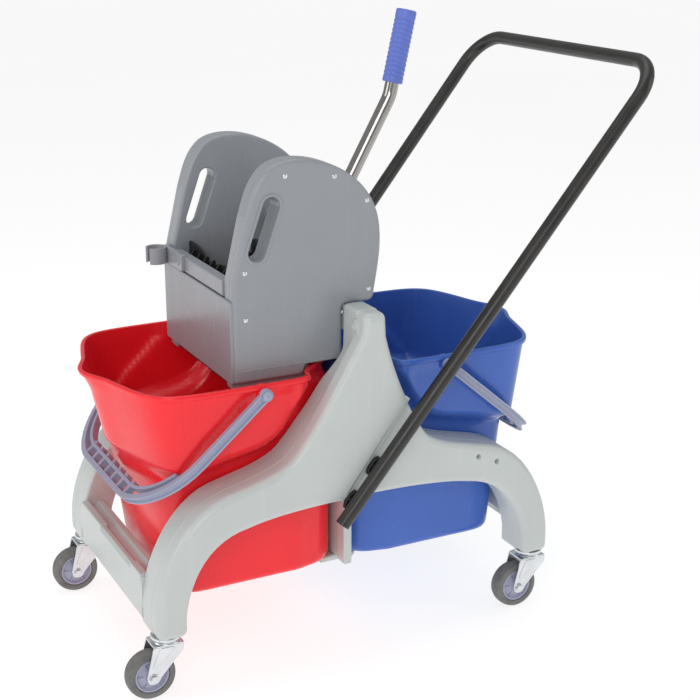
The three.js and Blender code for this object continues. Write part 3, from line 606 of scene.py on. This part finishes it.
# ---- buckets ----
# Two injection-moulded buckets, one red and one blue: a narrow body that hangs between
# the arches, a wide shoulder that rests on them, a bulging pouring end and a rolled rim.
FLOOR_Z, RIM_Z, WALL, LIP = 118, 452, 3.6, 4
PIVOT = Vector((-144, 0, 438))
STATIONS = [
    (-274, 0, -353, 0, 325), (-274, 45, -342, 44, 325), (-272, 85, -329, 92, 325),
    (-267, 112, -315, 136, 325), (-256, 132, -296, 164, 322), (-236, 141, -264, 177, 322),
    (-185, 141, -205, 180, 334), (-140, 141, -145, 180, 344), (-112, 141, -112, 180, 362),
    (-92, 141, -90, 179, 396), (-82, 141, -77, 177, 416), (-72, 141, -67, 171, 426),
    (-54, 137, -64, 156, 429), (-30, 131, -53, 139, 429), (-10, 115, -33, 122, 427),
    (0, 90, -9, 96, 424), (0, 40, -1, 44, 424),
]


def eased(value, low_edge, high_edge):
    """Zero below one edge and one above the other, with a smooth ramp between them."""
    t = min(1, max(0, (value - low_edge) / (high_edge - low_edge)))
    return t * t * (3 - 2 * t)


def around_bucket(per_side=7):
    """Evenly rounded positions round the plan, between the stations of both halves."""
    half = [list(map(float, s)) for s in STATIONS]
    loop = half + [[a, -b, c, -d, e] for a, b, c, d, e in reversed(half[1:])]
    result = []
    for i in range(len(loop)):
        p0, p1, p2, p3 = (loop[(i + k) % len(loop)] for k in (-1, 0, 1, 2))
        for step in range(per_side):
            t = step / per_side
            result.append([0.5 * (2 * b + (c - a) * t + (2 * a - 5 * b + 4 * c - d) * t * t
                                  + (3 * b - a - 3 * c + d) * t ** 3) for a, b, c, d in zip(p0, p1, p2, p3)])
    for _ in range(8):
        result = [[(a + 2 * b + c) / 4 for a, b, c in zip(result[i - 1], here, result[(i + 1) % len(result)])]
                  for i, here in enumerate(result)]
    return result


def shield_edge(x):
    """Height of the lower edge of the bulging end along the side of the bucket."""
    edge = ((-320, 322), (-300, 323), (-275, 329), (-259, 348), (-237, 376), (-201, 408), (-166, 444),
            (-150, 462))
    for (x0, z0), (x1, z1) in zip(edge, edge[1:]):
        if x0 <= x <= x1:
            return z0 + (z1 - z0) * (x - x0) / (x1 - x0)
    return 322 if x < edge[0][0] else 500


SIDE_DRAFT, END_SLOPE, RIM_SLOPE = 0.03, 0.48, 0.22
STEP_BLEND, SHIELD_BLEND, SHIELD_PROUD, SPOUT_FLARE = 13, 7, 6.5, 7


def bucket_point(station, z):
    """The outer skin of the bucket at one place in plan and one height."""
    low_x, low_y, high_x, high_y, step = station
    lean = min((z - FLOOR_Z) / (step - FLOOR_Z), 1)
    end = END_SLOPE if low_x < -230 else 0
    end *= eased(-low_x, 226, 250)
    body = Vector((low_x + (high_x - low_x) * end * lean, low_y * (1 + SIDE_DRAFT * lean)))
    outermost = min(1, max(0, (-high_x - 200) / 140))
    shoulder = Vector((high_x + RIM_SLOPE * outermost * (RIM_Z - z), high_y))
    blend = eased(z, step - STEP_BLEND, step + STEP_BLEND)
    point = body.lerp(shoulder, blend)
    if abs(high_y) > 120 and -290 < high_x < -60:
        proud = eased(z - shield_edge(point.x), -SHIELD_BLEND, SHIELD_BLEND)
        shrink = SHIELD_PROUD * (1 - proud) * (1 - eased(z, RIM_Z - 26, RIM_Z - 10))
        shrink *= eased(-high_x, 78, 100) * (1 - eased(-high_x, 270, 290)) * blend
        point.y -= shrink * (1 if high_y > 0 else -1)
    if high_x < -290:
        point.x -= SPOUT_FLARE * eased(z, RIM_Z - 40, RIM_Z) * (1 - eased(abs(high_y), 8, 62))
    return point


def bucket_mesh(bm):
    """One shell: rounded foot, outer skin, rolled rim, and the inside down to the floor."""
    stations = around_bucket()
    levels = [FLOOR_Z, FLOOR_Z + 2, FLOOR_Z + 5, FLOOR_Z + 9, FLOOR_Z + 14]
    z = FLOOR_Z + 22
    while z < RIM_Z - 12:
        levels.append(z)
        z += 5.5 if z > 300 else 14
    corner = 14

    def ring(z, out, height=None):
        """The skin at one height, moved out by an amount."""
        flat = [bucket_point(s, z) for s in stations]
        moved = inward(flat, -out)
        return [Vector((p.x, p.y, z if height is None else height)) for p in moved]

    def foot(z):
        """How far the rounded foot draws the skin in."""
        rise = min(1, (z - FLOOR_Z) / corner)
        return -corner * (1 - (1 - (1 - rise) ** 2) ** 0.5) if rise < 1 else 0

    outside = [ring(z, foot(z)) for z in levels]
    top = RIM_Z - 9
    rolled = [ring(top, 0), ring(top + 0.6, LIP - 1.2), ring(top + 1.6, LIP), ring(RIM_Z - 3, LIP),
              ring(RIM_Z - 1, LIP - 1.0), ring(RIM_Z - 0.2, LIP - 2.6), ring(RIM_Z, 0.2),
              ring(RIM_Z - 0.3, -2.2), ring(RIM_Z - 1.6, -3.4)]
    inside = [ring(z, foot(z) - WALL, max(z, FLOOR_Z + WALL)) for z in reversed(levels)]
    half_way, dish = -72, 1.2
    centre = [Vector((p.x * 0.5 + half_way, p.y * 0.5, p.z)) for p in inside[-1]]
    under = [Vector((p.x * 0.5 + half_way, p.y * 0.5, p.z + dish)) for p in outside[0]]
    skin(bm, [under, *outside, *rolled, *inside, centre])


BLUE_SHIFT = Matrix.Translation((16, 0, 0))
BLUE_SIDE = BLUE_SHIFT @ Matrix.Rotation(pi, 4, "Z")
red_plastic = moulded("red_bucket_plastic", (247, 31, 43), 0.25, 0.00002, 900, 0.05, 0.12)
blue_plastic = moulded("blue_bucket_plastic", (62, 102, 190), 0.25, 0.00002, 900, 0.05, 0.12)
for end, paint, turn_round in (("red", red_plastic, False), ("blue", blue_plastic, True)):
    bm = bmesh.new()
    bucket_mesh(bm)
    for sign in (-1, 1):
        turned(bm, [(12, 170), (10.5, 178), (9, 181), (9, 185.2), (8, 186.2), (4.6, 186.2), (4.6, 170)],
               PIVOT, (0, sign, 0), 36)
    if turn_round:
        bm.transform(BLUE_SIDE)
    settle(f"{end}_bucket_moulding", bm, f"{end}_bucket", paint, [f"{end}_bucket"],
           crease=50)

# ---- bails ----
# A lilac-grey plastic bail on each bucket: channel-section arms, and a carrying grip made
# of two rails with rungs between them. A flanged plastic rivet holds each end.
bail_plastic = moulded("lilac_grey_bail_plastic", (158, 164, 188), 0.42, 0.00003, 900, 0.04, 0.2)
ARM_Y, REACH, HANG, CORNER = 191, 247, 40.5, 112


def bail_place(across, out, over):
    """A point of the bail's own plane, laid against the red bucket."""
    a = radians(-HANG)
    return PIVOT + Vector((-out * cos(a) + over * sin(a), across, out * sin(a) + over * cos(a)))


def hoop(arm, reach, corner, start):
    """Both arms and the outer edge of the grip between them, as points across and out."""
    bend = ((arm, reach - corner * 0.42), (arm - corner * 0.58, reach), (arm - corner, reach))
    side = trace((arm, start), (arm, reach - corner), bend, (0, reach))
    return side + [Vector((-p.x, p.y)) for p in reversed(side[:-1])]


normal = (bail_place(0, 0, 1) - bail_place(0, 0, 0)).normalized()
channel = soften((
    (-4.5, -7.5), (4.5, -7.5), (4.5, -4.4), (1.0, -3.6), (1.0, 3.6), (4.5, 4.4), (4.5, 7.5), (-4.5, 7.5)),
    0.9, arc=2)
rail = soften(((-3, -7), (3, -7), (3, 7), (-3, 7)), 1.6, arc=3)
inner_rail = trace((168, 170), ((150, 205), (122, 226), (86, 227)), (0, 227))
inner_rail += [Vector((-p.x, p.y)) for p in reversed(inner_rail[:-1])]
RUNG_COUNT, RUNG_GAP = 7, 30
for end, turn_round in (("red", False), ("blue", True)):
    bm = bmesh.new()
    for points, section in ((hoop(ARM_Y, REACH, CORNER, 4), channel), (inner_rail, rail)):
        swept(bm, [bail_place(p.x, p.y, 0) for p in points], [(p.x, p.y) for p in section], normal)
    for k in range(RUNG_COUNT):
        across = (k - RUNG_COUNT // 2) * RUNG_GAP
        rung = soften(((across - 3, 225), (across + 3, 225), (across + 3, 249), (across - 3, 249)), 1)
        slab(bm, rung, -6.5, 6.5, 1.5, 1.5, place=lambda p, over: bail_place(p.x, p.y, over))
        bump = round_hole(across, 223.5, 4.2, 16)
        slab(bm, bump, -6, 6, 1.2, 1.2, place=lambda p, over: bail_place(p.x, p.y, over))
    for sign in (-1, 1):
        eye = [(9, -4.5), (9.6, -3.8), (9.6, 3.8), (9, 4.5), (4.7, 4.5), (4.7, -4.5), (9, -4.5)]
        turned(bm, eye, PIVOT + Vector((0, sign * ARM_Y, 0)), (0, 1, 0), 32)
    if turn_round:
        bm.transform(BLUE_SIDE)
    settle(f"{end}_bail_moulding", bm, f"{end}_bail", bail_plastic, [f"{end}_bail"])
    for side, y_sign in (("near", -1), ("far", 1)):
        bm = bmesh.new()
        turned(bm, [(0, 186.5), (4.2, 186.5), (4.2, 195.9), (7.4, 196.1), (7.8, 197), (6.6, 198.8),
                    (3.4, 199.8), (1.6, 199.9), (1.4, 199.0), (0, 199.0)], PIVOT, (0, y_sign, 0), 32)
        if turn_round:
            bm.transform(BLUE_SHIFT @ Matrix.Scale(-1, 4, (1, 0, 0)))
        settle(f"{end}_{side}_rivet_head", bm, f"{end}_bucket", bail_plastic,
               [f"{end}_{side}_bail_rivet"])

# ---- wringer side housings ----
# Each side of the wringer is a tall rounded ear: an inner wall and a cover plate screwed
# to it, moulded in mid-grey polypropylene, with a hand slot through both.
wringer_plastic = moulded("mid_grey_polypropylene", (150, 154, 160), 0.28, 0.00003, 800, 0.03, 0.2)
EAR_IN, EAR_SPLIT, EAR_OUT, FRONT_X = 105, 127, 141, -171
SLOT_TOP, SLOT_FOOT = Vector((-109, 701)), Vector((-133, 635))
SHAFT, ROCKER_PIVOT = Vector((0, 630)), Vector((-50, 568))
ear_crown = [
    (4, 456), (4, 541), (46, 541), ((54, 541), (58, 546), (58, 556)), ((62, 580), (69, 610), (68, 640)),
    ((68, 702), (26, 737), (-16, 754)), ((-52, 768), (-90, 768), (-111, 755)),
    ((-134, 738), (-140, 712), (-149, 684)), (FRONT_X, 592),
]


def oblong(a, b, radius, arc=12):
    """A bar with round ends between two points."""
    lean = atan2(b.y - a.y, b.x - a.x)
    ends = [(b, lean - pi / 2), (a, lean + pi / 2)]
    return [end + Vector((radius * cos(start + pi * i / arc), radius * sin(start + pi * i / arc)))
            for end, start in ends for i in range(arc + 1)]


wall_outline = soften(trace((FRONT_X, 428), (-48, 428), (-48, 456), *ear_crown, fine=14), 7)
cover_outline = soften(trace((FRONT_X, 441), (-58, 441), (-58, 456), *ear_crown, fine=14), 7)
for side, mirror in (("near", True), ("far", False)):
    bm = bmesh.new()
    slab(bm, wall_outline, EAR_IN, EAR_SPLIT - 0.2, 5, 0.8, [oblong(SLOT_TOP, SLOT_FOOT, 12.5)], 5, flare=0.7)
    for pivot, boss, bore in ((SHAFT, 13, 8.6), (ROCKER_PIVOT, 9, 5.4)):
        turned(bm, [(bore, EAR_IN - 1.8), (boss, EAR_IN - 1.8), (boss + 1, EAR_IN + 1),
                    (bore, EAR_IN + 1), (bore, EAR_IN - 1.8)], (pivot.x, 0, pivot.y), (0, 1, 0), 32)
    for z in (470, 520):
        rib = oblong(Vector((-150, z)), Vector((-60, z)), 1.6, 4)
        slab(bm, rib, EAR_IN - 1.2, EAR_IN + 2, 0.6)
    settle(f"{side}_ear_wall", bm, "wringer", wringer_plastic,
           [f"{side}_wringer_wall"], mirror=mirror)

    bm = bmesh.new()
    slab(bm, cover_outline, EAR_SPLIT + 0.2, EAR_OUT, 0.8, 6.5, [oblong(SLOT_TOP, SLOT_FOOT, 12.5)], 6,
         flare=0.25)
    slab(bm, oblong(SLOT_TOP, SLOT_FOOT, 18), EAR_OUT - 3, EAR_OUT + 1.6, 0, 1.4,
         [oblong(SLOT_TOP, SLOT_FOOT, 13.4)], 4, flare=1.0)
    step_rib = soften(((-163, 459), (-2, 459), (-2, 461.4), (-163, 461.4)), 1)
    slab(bm, step_rib, EAR_OUT - 1, EAR_OUT + 0.7, 0, 0.7)
    settle(f"{side}_ear_cover", bm, "wringer", wringer_plastic,
           [f"{side}_wringer_cover"], mirror=mirror)

    bm = bmesh.new()
    for x, z in ((-87, 742), (-9, 735), (44, 695), (47, 560), (-152, 537), (-152, 607), (5, 530)):
        turned(bm, [(0, EAR_OUT - 2), (3.6, EAR_OUT - 2), (3.6, EAR_OUT + 0.5), (2.6, EAR_OUT + 1.1),
                    (1.5, EAR_OUT + 1.2), (1.4, EAR_OUT + 0.4), (0, EAR_OUT + 0.4)], (x, 0, z), (0, 1, 0), 20)
    settle(f"{side}_cover_screws", bm, "wringer", zinc, mirror=mirror)

# ---- wringer panels ----
# Flat panels that join the two housings: a deep front panel with a stout rail above it,
# and a cranked rear panel that carries the shaft end of the wringer on the tower.
bm = bmesh.new()
front = soften(((-137, 441), (137, 441), (137, 566), (-137, 566)), 4)
slab(bm, front, -175, -169.5, 1.6, 1, steps=3, place=facing_end)
for y in (-70, 0, 70):
    stay = soften(((-170, 450), (-163, 456), (-163, 560), (-170, 566)), 1.5)
    slab(bm, stay, y - 1.5, y + 1.5, 0.5, 0.5)
settle("front_panel_moulding", bm, "wringer", wringer_plastic, ["wringer_front_panel"])

bm = bmesh.new()
rail = soften((
    (-173.5, 568), (-162, 568), (-162, 582), (-157, 588), (-157, 591), (-173.5, 591)), 2.4)
slab(bm, rail, -106, 106)
settle("front_rail_moulding", bm, "wringer", wringer_plastic, ["wringer_front_rail"])

bm = bmesh.new()
cranked = soften((
    (-30, 434), (-30, 456.3), (4, 456.3), (4, 537.5), (56, 537.5), (56, 575), (52, 575),
    (52, 541.5), (0, 541.5), (0, 460.3), (-34, 460.3), (-34, 434)), 1.8)
slab(bm, cranked, -105.5, 105.5)
for y in (-78, -26, 26, 78):
    gusset = soften(((2, 500), (2, 540), (50, 540)), 3)
    slab(bm, gusset, y - 1.5, y + 1.5, 0.5, 0.5)
settle("rear_panel_moulding", bm, "wringer", wringer_plastic, ["wringer_rear_panel"])

# ---- floor grid and sieve ----
# The mop is squeezed inside a black plastic box: an open grid below, and a ribbed and
# slotted sieve in front that lets the water through.
def lying(p, z):
    """A point of an outline drawn in x and y, for a plate that lies flat."""
    return Vector((p.x, p.y, z))


bm = bmesh.new()
grid = soften(((-165, -104.5), (-45, -104.5), (-45, 104.5), (-165, 104.5)), 2)
openings = [soften([Vector((x + a, y + b)) for a, b in ((-22, -8), (22, -8), (22, 8), (-22, 8))], 4)
            for x in (-131, -80) for y in range(-84, 85, 24)]
slab(bm, grid, 430, 435, 1, 1, openings, 3, place=lying)
settle("slotted_floor", bm, "wringer", black_plastic, ["wringer_floor_grid"])

bm = bmesh.new()
crest = trace((-104.5, 437), (104.5, 437), (104.5, 602), ((80, 603), (62, 602), (46, 597)),
              ((30, 592), (22, 586), (8, 587)), ((-10, 588), (-16, 592), (-30, 594)),
              ((-50, 597), (-80, 598), (-104.5, 598)))
slots = [oblong(Vector((y, z)), Vector((y, z + 18)), 3.2, 6)
         for y in range(-91, 92, 13) for z in range(452, 570, 30)]
slab(bm, soften(crest, 3), -144, -140, 0.8, 0.8, slots, 3, place=facing_end)
for y in range(-78, 79, 26):
    rib = soften(((-156, 441), (-141, 441), (-141, 594), (-146, 594), (-156, 580)), 2)
    slab(bm, rib, y - 1.6, y + 1.6, 0.6, 0.6)
settle("slotted_sieve", bm, "wringer", black_plastic, ["wringer_sieve"])

# ---- press plate ----
# A black plate that swings forward against the mop. Its face is fluted, and two cheeks
# behind it carry the pins that the cranks and the rockers turn on.
CRANK, CRANK_LEAN = 78, radians(25)
arm_reach = Vector((CRANK * sin(CRANK_LEAN), -CRANK * cos(CRANK_LEAN)))
CRANK_PIN, ROCKER_PIN = SHAFT + arm_reach, ROCKER_PIVOT + arm_reach
bm = bmesh.new()
face = soften(((-90.5, 444), (90.5, 444), (90.5, 598), (-90.5, 598)), 6)
slab(bm, face, -45, -37, 2, 1, steps=3, place=facing_end)
for y in range(-78, 79, 12):
    slab(bm, oblong(Vector((y, 454)), Vector((y, 588)), 2.6, 8), -47, -43, 1.8, 0, steps=4,
         place=facing_end)
for y in (-60, -30, 0, 30, 60):
    stay = soften(((-39, 466), (-31, 474), (-31, 556), (-39, 564)), 2)
    slab(bm, stay, y - 1.8, y + 1.8, 0.6, 0.6)
cheek = soften((
    (-40, 474), (-17, 487), (-8, 492), (-8, 551), (30, 551), (40, 555), (42, 563), (32, 570), (-40, 590)), 5)
for sign in (-1, 1):
    slab(bm, cheek, *sorted((sign * 85, sign * 90.8)), 1, 1)
    for pin in (CRANK_PIN, ROCKER_PIN):
        turned(bm, [(0, 84), (7.5, 84), (7.5, 92.4), (4.9, 92.6), (4.9, 98), (4.2, 98.8), (0, 98.8)],
               (pin.x, 0, pin.y), (0, sign, 0), 24)
settle("fluted_press_plate", bm, "press_plate", black_plastic, ["press_plate"])

# ---- cranks and rockers ----
# Pairs of flat steel links, zinc plated, with a collar pressed round each eye. The cranks
# are fixed on the lever shaft, and the rockers below keep the press plate upright.
def link(bm, a, b, half, bore_a, bore_b, sign):
    """A flat bar with an eye at each end, and a collar round each eye."""
    slab(bm, oblong(a, b, half), *sorted((sign * 94, sign * 99)), 0.7, 0.7,
         [round_hole(a.x, a.y, bore_a, 24), round_hole(b.x, b.y, bore_b, 24)], 3)
    for end, bore in ((a, bore_a), (b, bore_b)):
        collar = [(bore + 0.1, 98), (bore + 2.4, 98), (bore + 2.2, 100.2), (bore + 0.1, 100.2),
                  (bore + 0.1, 98)]
        turned(bm, collar, (end.x, 0, end.y), (0, sign, 0), 24)


for side, sign in (("near", -1), ("far", 1)):
    bm = bmesh.new()
    link(bm, SHAFT, CRANK_PIN, 10.5, 8.2, 5.2, sign)
    settle(f"{side}_crank_link", bm, "lever", zinc, [f"{side}_crank"])
    bm = bmesh.new()
    link(bm, ROCKER_PIVOT, ROCKER_PIN, 8.5, 5.2, 5.2, sign)
    turned(bm, [(0, 92.8), (6.8, 92.8), (6.8, 93.8), (5, 93.9), (5, 107.4), (4.4, 108), (0, 108)],
           (ROCKER_PIVOT.x, 0, ROCKER_PIVOT.y), (0, sign, 0), 24)
    settle(f"{side}_rocker_link", bm, "rockers", zinc, [f"{side}_rocker"])

# ---- lever shaft and socket ----
# A 16 mm chromed steel shaft between the housings. The black socket pinned to its middle
# takes the foot of the lever tube.
chrome = plated("polished_chrome", (168, 165, 162), 0.1, 0.05, (1, 1, 0.08), 900)
shaft_middle = Vector((SHAFT.x, 0, SHAFT.y))
bm = bmesh.new()
turned(bm, [(0, -108), (7, -108), (8, -107), (8, 107), (7, 108), (0, 108)], shaft_middle, (0, 1, 0), 48)
settle("chromed_shaft", bm, "lever", chrome, ["lever_shaft"])

lever_foot, lever_bend, lever_end = Vector((27, 0, 593)), Vector((156, 0, 822)), Vector((184.5, 0, 949))
lean_dir = (lever_bend - lever_foot).normalized()
bm = bmesh.new()
turned(bm, [(11.2, 0), (14, -1.5), (15.6, 0), (16, 3), (16, 34), (17.6, 35), (17.6, 41), (16.6, 42.4),
            (11.2, 42.4), (11.2, 0)], lever_foot, lean_dir, 40)
turned(bm, [(0, -6), (11, -6), (14, -5), (15.4, -3), (15.4, 2), (0, 2)], lever_foot, lean_dir, 40)
turned(bm, [(8.3, -17), (15.6, -17), (17, -15.6), (17, 15.6), (15.6, 17), (8.3, 17), (8.3, -17)],
       shaft_middle, (0, 1, 0), 40)
web = soften(((-6, 616), (18, 580), (46, 625), (6, 646)), 6)
slab(bm, web, -9, 9, 2, 2)
settle("lever_socket_moulding", bm, "lever", black_plastic, ["lever_socket"])

# ---- lever tube ----
# A chromed 22 mm steel tube, straight up from the socket and bent near the top, with the
# two faint rings that the bending tool leaves.
bm = bmesh.new()
lever_path = [lever_foot, *bent(lever_foot, lever_bend, lever_end, 60, 12), lever_end]
open_tube(bm, lever_path, TUBE_R, TUBE_WALL, Vector((0, 1, 0)))
for distance in (-26, -20):
    turned(bm, [(10.5, -0.8), (11.3, -0.4), (11.3, 0.4), (10.5, 0.8), (10.5, -0.8)],
           lever_bend + lean_dir * distance, lean_dir, 40)
settle("bent_lever_tube", bm, "lever", chrome, ["lever_tube"])

# ---- lever grip ----
# A blue plastic sleeve pushed over the end of the lever, with a flared collar, shallow
# finger grooves and a closed, slightly domed end.
grip_plastic = moulded("blue_grip_plastic", (98, 118, 204), 0.4, 0.00004, 700, 0.04, 0.15)
GRIP_LENGTH, GRIP_R, GROOVES = 112, 16, 13
profile = [(11.3, 0), (14.6, 0), (15.6, 0.6), (GRIP_R, 2)]
for groove in range(1, GROOVES + 1):
    middle = 4 + groove * (GRIP_LENGTH - 12) / (GROOVES + 1)
    profile += [(GRIP_R, middle - 2.0), (GRIP_R - 0.4, middle - 1.3), (GRIP_R - 0.9, middle),
                (GRIP_R - 0.4, middle + 1.3), (GRIP_R, middle + 2.0)]
profile += [(GRIP_R, GRIP_LENGTH - 3), (15.6, GRIP_LENGTH - 1.4), (14.4, GRIP_LENGTH - 0.3),
            (12, GRIP_LENGTH + 0.3), (0, GRIP_LENGTH + 0.8)]
up = (lever_end - lever_bend).normalized()
bm = bmesh.new()
turned(bm, profile, lever_end + up * (3.3 - GRIP_LENGTH), up, 56)
settle("grooved_grip", bm, "lever", grip_plastic, ["lever_grip"])

# ---- return springs ----
# Two torsion springs of oiled wire, wound round the shaft on either side of the socket.
# They lift the lever again after each press.
spring_steel = plated("oiled_spring_wire", (122, 120, 114), 0.3, 0.08)
COIL_R, WIRE_R, TURNS, PER_TURN, PITCH = 12.5, 1.7, 3, 36, 8
for side, start in (("near", -50), ("far", 26)):
    bm = bmesh.new()
    rings = []
    for i in range(TURNS * PER_TURN + 1):
        a = 2 * pi * i / PER_TURN
        out = Vector((sin(a), 0, cos(a)))
        centre = Vector((SHAFT.x, start + i / PER_TURN * PITCH, SHAFT.y)) + out * COIL_R
        along = Vector((cos(a) * 2 * pi * COIL_R, PITCH, -sin(a) * 2 * pi * COIL_R)).normalized()
        flat = along.cross(out)
        rings.append([centre + out * p + flat * q for p, q in circle(WIRE_R, 12)])
    skin(bm, rings)
    settle(f"{side}_coiled_spring", bm, "wringer", spring_steel, [f"{side}_return_spring"])

# ---- mop handle clip ----
# A grey spring clip on the front rail that holds a mop handle upright: an open ring on a
# plate, with two screws through it.
bm = bmesh.new()
CLIP, CLIP_R, CLIP_BORE = Vector((-194, 118)), 17, 13.4
mouth = radians(32)
turns = [pi + mouth + (2 * pi - 2 * mouth) * i / 40 for i in range(41)]
ring_out = [CLIP + Vector((cos(a), sin(a))) * CLIP_R for a in turns]
ring_in = [CLIP + Vector((cos(a), sin(a))) * CLIP_BORE for a in turns]
band = soften(ring_out + ring_in[::-1], 1.4, arc=3)
slab(bm, band, 569, 595, 1, 1, place=lying)
plate = soften(((45, 569), (126, 569), (126, 595.5), (45, 595.5)), 3)
slab(bm, plate, -179.5, -172.5, 1.4, 0.4, place=facing_end)
for y in (58, 82):
    turned(bm, [(0, 178), (4.6, 178), (4.6, 180), (3.6, 181), (1.8, 181.2), (1.6, 180.2), (0, 180.2)],
           (0, y, 582), (-1, 0, 0), 24)
settle("mop_clip_moulding", bm, "wringer", wringer_plastic, ["mop_clip"])
